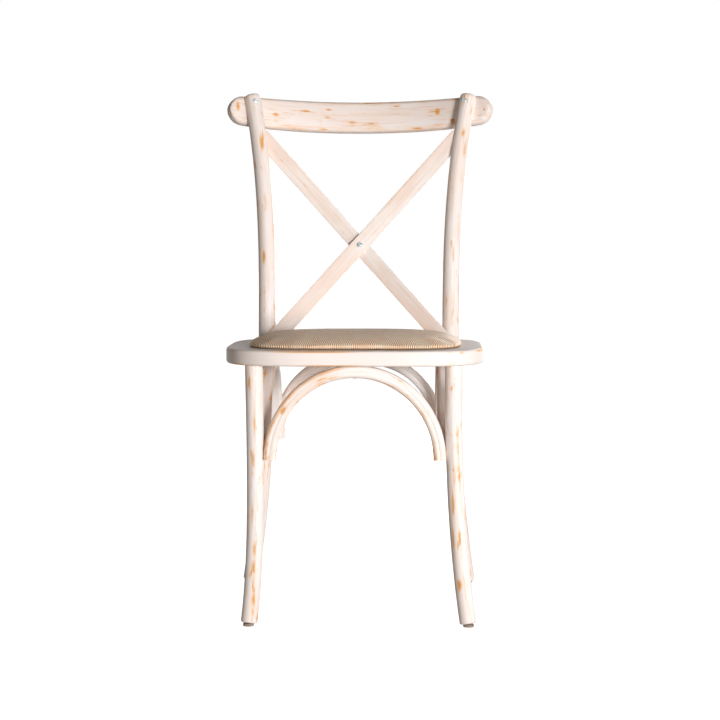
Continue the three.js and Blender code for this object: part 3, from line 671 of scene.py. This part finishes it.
SCREW_HEIGHT = ARCH_FOOT + 0.016
ARCH_LAP = 0.0006
SIDE_ARCH_LAP = 0.0002
SIDE_ARCH_INSET = 0.013
front_leg_reach = lerp(FRONT_LEG_FOOT, FRONT_LEG_TOP, SCREW_HEIGHT / RING_UNDERSIDE) / 2
rear_leg_reach = lerp(REAR_LEG_FOOT, REAR_LEG_SEAT, SCREW_HEIGHT / RING_UNDERSIDE) / 2
FRONT_AXES = {name: front_leg_point(side, SCREW_HEIGHT) for name, side in SIDES.items()}
REAR_AXES = {name: rear_leg_point(side, SCREW_HEIGHT) for name, side in SIDES.items()}
arch("front_arch", FRONT_AXES["left"] + X * (front_leg_reach - ARCH_LAP),
     FRONT_AXES["right"] - X * (front_leg_reach - ARCH_LAP), 2, 10.0,
     [(-0.1136, 0.350, 0.009, 0.005, 0.9)], front_arch_edge_wear_and_shade)
arch("rear_arch", REAR_AXES["left"] + X * (rear_leg_reach - ARCH_LAP),
     REAR_AXES["right"] - X * (rear_leg_reach - ARCH_LAP), 2.25, 12.0, [], gentle)
for order, (name, side) in enumerate(SIDES.items()):
    x = side["sign"] * (FRONT_LEG_AT.x - SIDE_ARCH_INSET)
    front_foot = Vector((x, FRONT_AXES[name].y + front_leg_reach - SIDE_ARCH_LAP, SCREW_HEIGHT))
    rear_foot = Vector((x, REAR_AXES[name].y - rear_leg_reach + SIDE_ARCH_LAP, SCREW_HEIGHT))
    arch(f"side_arch_{name}", front_foot, rear_foot, 2.2, 14.0 + order, [], gentle)

# %% [markdown]
# ## Top rail
# The rail is bent round the sitter's back and leans with the posts, and its ends are half
# round. It is swept along its arc, and the last sections are drawn in to round the ends.

# %% Top rail
RAIL_HEIGHT = 0.057
RAIL_END_HEIGHT = 0.050
RAIL_THICKNESS = 0.024
RAIL_EDGE = 0.008
RAIL_RADIUS = 0.496
RAIL_OVERHANG = 0.0464
RAIL_STEPS = 150
RAIL_RUBS = [
    (-0.2205, 0.867, 0.005, 0.0090, 0.90), (-0.1629, 0.864, 0.014, 0.0025, 0.60),
    (-0.1546, 0.853, 0.008, 0.0050, 0.70), (-0.1379, 0.866, 0.016, 0.0025, 0.40),
    (-0.0580, 0.864, 0.009, 0.0030, 0.95), (-0.0707, 0.858, 0.012, 0.0025, 0.45),
    (-0.0619, 0.850, 0.008, 0.0030, 0.65), (-0.0715, 0.841, 0.007, 0.0050, 0.45),
    (-0.0660, 0.828, 0.010, 0.0030, 0.70), (-0.1627, 0.832, 0.010, 0.0025, 0.50),
    (-0.0144, 0.839, 0.012, 0.0030, 0.65), (0.0279, 0.834, 0.010, 0.0025, 0.40),
    (0.0669, 0.869, 0.010, 0.0025, 0.70), (0.1407, 0.858, 0.005, 0.0060, 1.00),
    (0.1693, 0.840, 0.006, 0.0050, 0.95), (0.1054, 0.828, 0.013, 0.0025, 1.00),
    (0.2232, 0.862, 0.003, 0.0040, 0.70),
]

post_top = rear_leg_point(SIDES["right"], CHAIR_HEIGHT - 0.028)
post_below = rear_leg_point(SIDES["right"], CHAIR_HEIGHT - 0.028 - RAIL_HEIGHT)
post_lean = Vector((0, post_top.y - post_below.y, post_top.z - post_below.z)).normalized()
backward = post_lean.cross(X)
arc_radius = RAIL_RADIUS - 0.005 - RAIL_THICKNESS / 2
post_angle = math.asin(post_top.x / arc_radius)
rail_centre = Vector((0, post_top.y, post_top.z)) - backward * arc_radius * math.cos(post_angle)
rail_reach = math.asin((post_top.x + RAIL_OVERHANG) / RAIL_RADIUS)
end_share = RAIL_END_HEIGHT / 2 / (2 * rail_reach * RAIL_RADIUS)
ends = [end_share * (1 - math.cos(math.radians(a))) for a in (11, 18, 26, 34, 43, 52, 62, 72, 82)]
shares = ends + [lerp(end_share, 1 - end_share, i / RAIL_STEPS) for i in range(RAIL_STEPS + 1)]
shares += [1 - share for share in reversed(ends)]
path = []
sizes = []
for share in shares:
    angle = lerp(-rail_reach, rail_reach, share)
    path.append(rail_centre + X * RAIL_RADIUS * math.sin(angle) + backward * RAIL_RADIUS * math.cos(angle))
    into = min(min(share, 1 - share) / end_share, 1)
    rounding = math.sqrt(1 - (1 - into) ** 2)
    height = lerp(RAIL_HEIGHT, RAIL_END_HEIGHT, abs(2 * share - 1) ** 4)
    sizes.append((lerp(0.55, 1, rounding), rounding * height / RAIL_HEIGHT))
points, edges = bar_section(RAIL_THICKNESS - 0.002, RAIL_HEIGHT, RAIL_EDGE, swell=0.001, face_steps=14)
rail = sweep(points, path, sizes, backward, 20.0)
along_top = np.maximum(np.tile(edges, len(path)) * 0.34, 0.1)
rub_front(rail, RAIL_RUBS, along_top)
dress(close_up(rail), "painted_top_rail", WHITE_PAINT, ["top_rail"])

# %% [markdown]
# ## Crossed straps
# Two thin flat strips climb from the ring, in front of one post, to the other post. The one
# that ends at the right post lies in front, and a bolt holds them where they cross.

# %% Straps
STRAP_WIDTH = 0.028
STRAP_THICKNESS = 0.0045
STRAP_EDGE = 0.0009
STRAP_STEPS = 110
CROSS_GAP = 0.0014


def strap_ends(side):
    top = rear_leg_point(side, CHAIR_HEIGHT - 0.075)
    top.x -= side["sign"] * (REAR_LEG_TOP / 2 - 0.009)
    foot = Vector((side["sign"] * (0.0038 - REAR_LEG_AT.x), REAR_LEG_AT.y - 0.031, SEAT_TOP - 0.011))
    return foot, top


right_foot, right_top = strap_ends(SIDES["right"])
strap_lean = Vector((0, right_top.y - right_foot.y, right_top.z - right_foot.z)).normalized()
strap_normal = strap_lean.cross(X)
CROSSING = Vector((0, REAR_LEG_AT.y + 0.055, SEAT_TOP + 0.166))


def catmull(a, b, c, d, share):
    t0 = 0.0
    t1 = t0 + math.sqrt((b - a).length)
    t2 = t1 + math.sqrt((c - b).length)
    t3 = t2 + math.sqrt((d - c).length)
    t = lerp(t1, t2, share)
    ab = a * ((t1 - t) / (t1 - t0)) + b * ((t - t0) / (t1 - t0))
    bc = b * ((t2 - t) / (t2 - t1)) + c * ((t - t1) / (t2 - t1))
    cd = c * ((t3 - t) / (t3 - t2)) + d * ((t - t2) / (t3 - t2))
    left = ab * ((t2 - t) / (t2 - t0)) + bc * ((t - t0) / (t2 - t0))
    right = bc * ((t3 - t) / (t3 - t1)) + cd * ((t - t1) / (t3 - t1))
    return left * ((t2 - t) / (t2 - t1)) + right * ((t - t1) / (t2 - t1))


for order, (name, side) in enumerate(SIDES.items()):
    foot, top = strap_ends(side)
    behind = -side["sign"] * (STRAP_THICKNESS + CROSS_GAP) / 2
    middle = CROSSING + strap_normal * behind
    half = STRAP_STEPS // 2
    path = [catmull(foot * 2 - middle, foot, middle, top, i / half) for i in range(half)]
    path += [catmull(foot, middle, top, top * 2 - middle, i / half) for i in range(half + 1)]
    points, edges = bar_section(STRAP_THICKNESS, STRAP_WIDTH, STRAP_EDGE, face_steps=6, arc_steps=3)
    start = path[1] - path[0]
    strap = sweep(points, path, [(1, 1)] * len(path), strap_lean.cross(start), 24.0 + 2 * order)
    rub_front(strap, [], np.tile(edges, len(path)) * 0.22)
    dress(close_up(strap, 30), f"painted_strap_{name}", STRAP_PAINT, [f"back_strap_{name}"])

# %% [markdown]
# ## Seat pad
# A foam dome under a close weave of split cane, with a small rolled edge all round. Loops of
# edges are stacked from the ring up over the roll to the crown. The weave is stretched from
# front to back, because the camera looks along the pad, and its rows would otherwise blur.

# %% Woven pad material
WEAVE = 0.0024
WEAVE_STRETCH = 0.24
WEAVE_TURN = math.radians(45)
GOLD_FROM, GOLD_FULL = 0.165, 0.192


def woven_cane(tree, shader):
    place = add_node(tree, "ShaderNodeTexCoord", output=3)
    turned = add_node(tree, "ShaderNodeMapping", {"Vector": place, "Rotation": (0, 0, WEAVE_TURN),
                                                   "Scale": (1 / WEAVE, WEAVE_STRETCH / WEAVE, 1 / WEAVE)})
    wobble = noise(tree, place, (60, 60, 60), detail=2.0)
    parts = tree.nodes.new("ShaderNodeSeparateXYZ")
    tree.links.new(turned, parts.inputs[0])
    shift = calc(tree, "MULTIPLY", calc(tree, "SUBTRACT", wobble, 0.5), 0.5)
    u = calc(tree, "ADD", parts.outputs[0], shift)
    v = calc(tree, "SUBTRACT", parts.outputs[1], shift)
    over_u = calc(tree, "ABSOLUTE", calc(tree, "SINE", calc(tree, "MULTIPLY", u, math.pi)))
    over_v = calc(tree, "ABSOLUTE", calc(tree, "SINE", calc(tree, "MULTIPLY", v, math.pi)))
    square = calc(tree, "ADD", calc(tree, "FLOOR", u), calc(tree, "FLOOR", v))
    checks = calc(tree, "MODULO", calc(tree, "ABSOLUTE", square), 2.0)
    strand = add_node(tree, "ShaderNodeMix", {0: checks, 2: over_u, 3: over_v})
    holes = calc(tree, "MULTIPLY", over_u, over_v)
    height = calc(tree, "ADD", calc(tree, "MULTIPLY", strand, 0.6), calc(tree, "MULTIPLY", holes, 0.4))
    tone = noise(tree, place, (35, 35, 35), detail=4.0)
    straws = noise(tree, turned, (0.35, 0.35, 0.35), detail=2.0)
    straw = blend(tree, smooth(tree, tone, 0.35, 0.68), colour(255, 236, 208), colour(255, 219, 184))
    straw = blend(tree, smooth(tree, straws, 0.45, 0.75, 0.5), straw, colour(250, 232, 206))
    # The two tips of the pad have aged to gold
    sides = tree.nodes.new("ShaderNodeSeparateXYZ")
    tree.links.new(place, sides.inputs[0])
    tip = smooth(tree, calc(tree, "ABSOLUTE", sides.outputs[0]), GOLD_FROM, GOLD_FULL, 0.75)
    straw = blend(tree, tip, straw, colour(222, 176, 104))
    # The low places between the strands are painted dark brown: painted shade in the gaps of the weave
    finish = blend(tree, smooth(tree, height, 0.58, 0.28, 0.95), straw, colour(156, 98, 56))
    shader.inputs["Specular IOR Level"].default_value = 0.3
    shader.inputs["Sheen Weight"].default_value = 0.5
    shader.inputs["Sheen Roughness"].default_value = 0.6
    shader.inputs["Sheen Tint"].default_value = (1.0, 0.82, 0.68, 1)
    return {
        "Base Color": finish,
        "Roughness": calc(tree, "ADD", calc(tree, "MULTIPLY", tone, 0.25), 0.5),
        "Normal": bump(tree, height, 0.0007, 0.8),
    }


WOVEN_PAD = surface("woven_pad", woven_cane)

# %% Pad
PAD_LOW, PAD_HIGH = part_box("seat_pad")
PAD_HALF_WIDTH = (PAD_HIGH.x - PAD_LOW.x) / 2
PAD_HALF_DEPTH = (PAD_HIGH.y - PAD_LOW.y) / 2
PAD_BASE = PAD_LOW.z
PAD_ROLL = 0.0045
PAD_CROWN = PAD_HIGH.z - PAD_BASE
START_CROWN = 0.93
DOME_LOOPS = 30


def pad_loops():
    loops = []
    for turn in (-90, -70, -45, -20, 0, 20, 45, 70, 90, 110, 130):
        angle = math.radians(turn)
        loops.append((PAD_ROLL * (1 - math.cos(angle)), PAD_BASE + PAD_ROLL * (1 + math.sin(angle))))
    start = loops[-1][1]
    reach = PAD_HALF_DEPTH - loops[-1][0]
    crown = PAD_BASE + PAD_CROWN * START_CROWN
    for i in range(1, DOME_LOOPS):
        share = 1 - (i / DOME_LOOPS)
        rise = (1 - share ** 2) ** 0.5
        loops.append((PAD_HALF_DEPTH - reach * share, lerp(start, crown, rise)))
    return loops


pad = loop_stack(PAD_HALF_WIDTH, PAD_HALF_DEPTH, pad_loops(), closed=False)
deselect()
pad.select_set(True)
bpy.context.view_layer.objects.active = pad
bpy.ops.object.mode_set(mode="EDIT")
bpy.ops.mesh.select_mode(type="EDGE")
bpy.ops.mesh.select_all(action="DESELECT")
bpy.ops.mesh.select_non_manifold(extend=False)
bpy.ops.mesh.edge_face_add()
bpy.ops.object.mode_set(mode="OBJECT")
close_up(pad, 60)

# %% [markdown]
# Foam pushes its cover outwards, so the dome starts a little low. It is remeshed evenly and
# blown up as cloth with its flat base pinned. No point may go further than the cap. The
# creases are then smoothed, and nothing is left past the box of the pad in the frame.

# %% Swelling the pad
PAD_VOXEL = 0.004
PAD_CAP = 0.0022
PAD_PRESSURE = 4
PINNED_BAND = 0.0015
CREASE_PASSES = 8
SIM_FRAMES = 20


def write_corners(piece, places):
    piece.data.vertices.foreach_set("co", places.astype(np.float32).ravel())
    piece.data.update()


def swell(piece):
    piece.data.remesh_voxel_size = PAD_VOXEL
    bpy.ops.object.voxel_remesh()
    shape = corners_of(piece)
    pins = piece.vertex_groups.new(name="base")
    pins.add([int(i) for i in np.flatnonzero(shape[:, 2] < PAD_BASE + PINNED_BAND)], 1.0, "REPLACE")
    cloth = piece.modifiers.new("swell", "CLOTH")
    cloth.settings.use_pressure = True
    cloth.settings.uniform_pressure_force = PAD_PRESSURE
    cloth.settings.effector_weights.gravity = 0
    cloth.settings.vertex_group_mass = "base"
    cloth.point_cache.frame_end = SIM_FRAMES
    for number in range(1, SIM_FRAMES + 1):
        bpy.context.scene.frame_set(number)
    bpy.ops.object.modifier_apply(modifier="swell")
    bpy.context.scene.frame_set(1)
    moved = corners_of(piece) - shape
    reach = np.linalg.norm(moved, axis=1, keepdims=True)
    print("moved by up to", round(float(reach.max()) * 1000, 1), "mm before the cap")
    write_corners(piece, shape + moved * np.minimum(1, PAD_CAP / np.maximum(reach, 1e-9)))
    bpy.ops.object.mode_set(mode="EDIT")
    bpy.ops.mesh.select_all(action="SELECT")
    bpy.ops.mesh.vertices_smooth(factor=0.5, repeat=CREASE_PASSES)
    bpy.ops.object.mode_set(mode="OBJECT")
    shape = corners_of(piece)
    write_corners(piece, np.clip(shape, np.array(PAD_LOW), np.array(PAD_HIGH)))
    finer = piece.modifiers.new("finer", "SUBSURF")
    finer.levels = finer.render_levels = 1
    bpy.ops.object.modifier_apply(modifier="finer")
    bpy.ops.object.shade_smooth()


swell(pad)
dress(pad, "woven_seat_pad", WOVEN_PAD, ["seat_pad"])

# %% [markdown]
# ## Hardware
# Bright button-head screws with a six-sided socket. One is modelled for each size, from a
# disc whose rim is bevelled into a dome and whose socket is cut by a six-sided bar, and it
# is then copied to each screw's place, which its own node gives.

# %% Steel material


def bright_steel(tree, shader):
    place = add_node(tree, "ShaderNodeTexCoord", output=3)
    wear = noise(tree, place, (900, 900, 900), detail=4.0)
    stain = noise(tree, place, (180, 180, 180), detail=2.0)
    finish = blend(tree, smooth(tree, stain, 0.4, 0.75), colour(188, 198, 200), colour(140, 148, 150))
    shader.inputs["Metallic"].default_value = 0.9
    return {
        "Base Color": finish,
        "Roughness": calc(tree, "ADD", calc(tree, "MULTIPLY", wear, 0.25), 0.18),
        "Normal": bump(tree, wear, 0.00005, 0.3),
    }


BRIGHT_STEEL = surface("bright_steel", bright_steel)

# %% Screws


def headed_screw(head, head_height, shank, length):
    deselect()
    bpy.ops.mesh.primitive_cylinder_add(vertices=40, radius=head / 2, depth=head_height,
                                        location=(0, 0, -head_height / 2))
    piece = bpy.context.object
    bpy.ops.object.transform_apply()
    bpy.ops.object.mode_set(mode="EDIT")
    bpy.ops.mesh.select_mode(type="FACE")
    bpy.ops.mesh.select_all(action="DESELECT")
    bpy.ops.object.mode_set(mode="OBJECT")
    for face in piece.data.polygons:
        face.select = face.normal.z < -0.9
    bpy.ops.object.mode_set(mode="EDIT")
    bpy.ops.mesh.bevel(offset=head_height * 0.72, segments=6, profile=0.5)
    bpy.ops.mesh.select_all(action="DESELECT")
    bpy.ops.object.mode_set(mode="OBJECT")
    for face in piece.data.polygons:
        face.select = face.normal.z > 0.9
    bpy.ops.object.mode_set(mode="EDIT")
    bpy.ops.mesh.inset(thickness=(head - shank) / 2)
    bpy.ops.mesh.extrude_region_move(TRANSFORM_OT_translate={"value": (0, 0, length - 0.002)})
    bpy.ops.mesh.extrude_region_move(TRANSFORM_OT_translate={"value": (0, 0, 0.002)})
    bpy.ops.transform.resize(value=(0.35, 0.35, 1), center_override=(0, 0, length))
    bpy.ops.object.mode_set(mode="OBJECT")
    bpy.ops.mesh.primitive_cylinder_add(vertices=6, radius=head * 0.24, depth=head_height,
                                        location=(0, 0, -head_height))
    socket = bpy.context.object
    deselect()
    piece.select_set(True)
    bpy.context.view_layer.objects.active = piece
    cut = piece.modifiers.new("socket", "BOOLEAN")
    cut.operation = "DIFFERENCE"
    cut.solver = "EXACT"
    cut.object = socket
    bpy.ops.object.modifier_apply(modifier=cut.name)
    bpy.data.objects.remove(socket)
    return close_up(piece, 30)


def pin_place(node, head_height):
    # The long way through the node is its axis, and its fatter end is the head
    places = corners_of(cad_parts[node]).astype(float)
    middle = places.mean(0)
    centred = places - middle
    axis = np.linalg.svd(centred, full_matrices=False)[2][0]
    run = centred @ axis
    off = np.linalg.norm(centred - np.outer(run, axis), axis=1)
    far = run > 0
    if off[far].max() > off[~far].max():
        axis, run = -axis, -run
    tip = middle + axis * run.min()
    return Vector(tip) + Vector(axis) * head_height, Vector(axis)


def place_copy(source, name, node, seat, direction):
    deselect()
    copy = source.copy()
    copy.data = source.data.copy()
    bpy.context.scene.collection.objects.link(copy)
    copy.matrix_world = Matrix.Translation(seat) @ direction.to_track_quat("Z", "Y").to_matrix().to_4x4()
    copy.select_set(True)
    bpy.context.view_layer.objects.active = copy
    bpy.ops.object.transform_apply()
    return dress(copy, name, BRIGHT_STEEL, [node])


ARCH_NODES = ["front_arch", "rear_arch", "side_arch_left", "side_arch_right"]
ARCH_SCREWS = [f"{name}_crown_screw" for name in ARCH_NODES]
ARCH_SCREWS += [f"{name}_screw_{end}" for name in ARCH_NODES[:2] for end in ("left", "right")]
ARCH_SCREWS += [f"{name}_screw_{end}" for name in ARCH_NODES[2:] for end in ("front", "rear")]
PANEL_SCREWS = [f"panel_screw_{end}_{side}" for end in ("front", "rear") for side in SIDES]
KINDS = [
    (0.009, 0.0026, 0.004, 0.031, ARCH_SCREWS),
    (0.0095, 0.0026, 0.004, 0.034, [f"rail_screw_{side}" for side in SIDES]),
    (0.009, 0.0026, 0.004, 0.020, PANEL_SCREWS),
    (0.012, 0.0030, 0.006, 0.062, [f"rear_leg_bolt_{side}" for side in SIDES]),
    (0.010, 0.0026, 0.005, 0.0145, ["cross_bolt"]),
]
for head, head_height, shank, length, nodes in KINDS:
    pattern = headed_screw(head, head_height, shank, length)
    for node in nodes:
        seat, direction = pin_place(node, head_height)
        place_copy(pattern, f"bright_{node}", node, seat, direction)
    bpy.data.objects.remove(pattern)

# %% [markdown]
# ## Glides, panel and nut
# The glides are small turned discs under the feet. The seat panel is bare plywood, seen only
# from below, and the nut behind the crossing keeps its shape from the frame.

# %% Glides


def dull_glide(tree, shader):
    place = add_node(tree, "ShaderNodeTexCoord", output=3)
    dirt = noise(tree, place, (260, 260, 260), detail=5.0)
    finish = blend(tree, smooth(tree, dirt, 0.4, 0.7), colour(150, 134, 120), colour(104, 92, 82))
    return {
        "Base Color": finish,
        "Roughness": calc(tree, "ADD", calc(tree, "MULTIPLY", dirt, 0.3), 0.42),
        "Normal": bump(tree, dirt, 0.0002, 0.4),
    }


GLIDE = surface("glide", dull_glide)
for end in ("front", "rear"):
    for side in SIDES:
        node = f"{end}_glide_{side}"
        low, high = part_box(node)
        centre = (low + high) / 2
        radius = (high.x - low.x) / 2
        deselect()
        bpy.ops.mesh.primitive_cylinder_add(vertices=48, radius=radius, depth=GLIDE_HEIGHT - GAP,
                                            location=(centre.x, centre.y, (GLIDE_HEIGHT - GAP) / 2))
        glide = bpy.context.object
        bpy.ops.object.transform_apply()
        bpy.ops.object.mode_set(mode="EDIT")
        bpy.ops.mesh.select_all(action="SELECT")
        bpy.ops.mesh.bevel(offset=0.0012, segments=4, profile=0.5)
        bpy.ops.object.mode_set(mode="OBJECT")
        dress(close_up(glide, 50), f"turned_{node}", GLIDE, [node])

# %% Panel and nut


def bare_plywood(tree, shader):
    place = add_node(tree, "ShaderNodeTexCoord", output=3)
    rings = noise(tree, place, (18, 3, 90), detail=5.0, roughness=0.6)
    fibre = noise(tree, place, (700, 25, 300), detail=3.0)
    finish = blend(tree, smooth(tree, rings, 0.35, 0.7), colour(214, 184, 142), colour(184, 146, 102))
    finish = blend(tree, smooth(tree, fibre, 0.5, 0.75, 0.5), finish, colour(150, 112, 74))
    return {
        "Base Color": finish,
        "Roughness": calc(tree, "ADD", calc(tree, "MULTIPLY", fibre, 0.2), 0.6),
        "Normal": bump(tree, fibre, 0.0002, 0.4),
    }


PLYWOOD = surface("plywood", bare_plywood)
for node, material in (("seat_panel", PLYWOOD), ("cross_nut", BRIGHT_STEEL)):
    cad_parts[node].data.materials.clear()
    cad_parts[node].data.materials.append(material)

# %% [markdown]
# ## Light and floor
# The photograph is bright and clean: one strong low light in front and to the right, little
# from the left, and white all round. The world and the floor are white only to the
# camera and to reflections. To everything else they are dim and warm, so the shade is brown.

# %% Floor


def white_floor(tree, shader):
    seen = add_node(tree, "ShaderNodeLightPath", output=0)
    mirrored = add_node(tree, "ShaderNodeLightPath", output=3)
    direct = calc(tree, "MAXIMUM", seen, mirrored)
    place = add_node(tree, "ShaderNodeTexCoord", output=3)
    away = add_node(tree, "ShaderNodeVectorMath", {0: place}, output=1, operation="LENGTH")
    far = smooth(tree, away, 1.0, 4.0, 0.14)
    shader.inputs["Roughness"].default_value = 0.9
    shader.inputs["Emission Color"].default_value = (1, 1, 1, 1)
    return {
        "Base Color": blend(tree, direct, (0.26, 0.215, 0.16, 1), (0.6, 0.6, 0.6, 1)),
        "Emission Strength": calc(tree, "MULTIPLY", direct, calc(tree, "ADD", far, 0.86)),
    }


deselect()
bpy.ops.mesh.primitive_plane_add(size=60, location=(0, 0, 0))
floor = bpy.context.object
floor.name = "floor"
floor.data.materials.append(surface("white_floor", white_floor))

# %% Lights


def area_light(name, azimuth, elevation, distance, size, power, tint=(1, 1, 1)):
    # Azimuth 0 is straight in front of the chair, and it grows towards the right of the photo
    a, e = math.radians(azimuth), math.radians(elevation)
    at = Vector((math.sin(a) * math.cos(e), -math.cos(a) * math.cos(e), math.sin(e))) * distance
    aim = Vector((0, 0, 0.45))
    deselect()
    bpy.ops.object.light_add(type="AREA", location=at + aim)
    light = bpy.context.object
    light.rotation_euler = (aim - light.location).to_track_quat("-Z", "Y").to_euler()
    light.name = name
    light.data.size = size
    light.data.energy = power
    light.data.color = tint
    return light


area_light("key", 26, 1, 4.5, 1.0, 164, (1.0, 0.99, 0.98))
area_light("right", 62, 4, 4.0, 1.6, 36)
area_light("front_left", -18, 3, 4.0, 1.4, 18, (1.0, 0.95, 0.88))
area_light("behind", 160, 10, 4.0, 1.6, 100)

DIM_WORLD = 0.06
WARM_SHADE = (1.0, 0.78, 0.52, 1)
world = bpy.data.worlds.new("white_room")
bpy.context.scene.world = world
world.use_nodes = True
tree = world.node_tree
seen = add_node(tree, "ShaderNodeLightPath", output=0)
mirrored = add_node(tree, "ShaderNodeLightPath", output=3)
passed = add_node(tree, "ShaderNodeLightPath", output=6)
direct = calc(tree, "MAXIMUM", calc(tree, "MAXIMUM", seen, mirrored), passed)
strength = calc(tree, "ADD", calc(tree, "MULTIPLY", direct, 1 - DIM_WORLD), DIM_WORLD)
room_colour = blend(tree, direct, WARM_SHADE, (1, 1, 1, 1))
tree.links.new(strength, tree.nodes["Background"].inputs["Strength"])
tree.links.new(room_colour, tree.nodes["Background"].inputs["Color"])
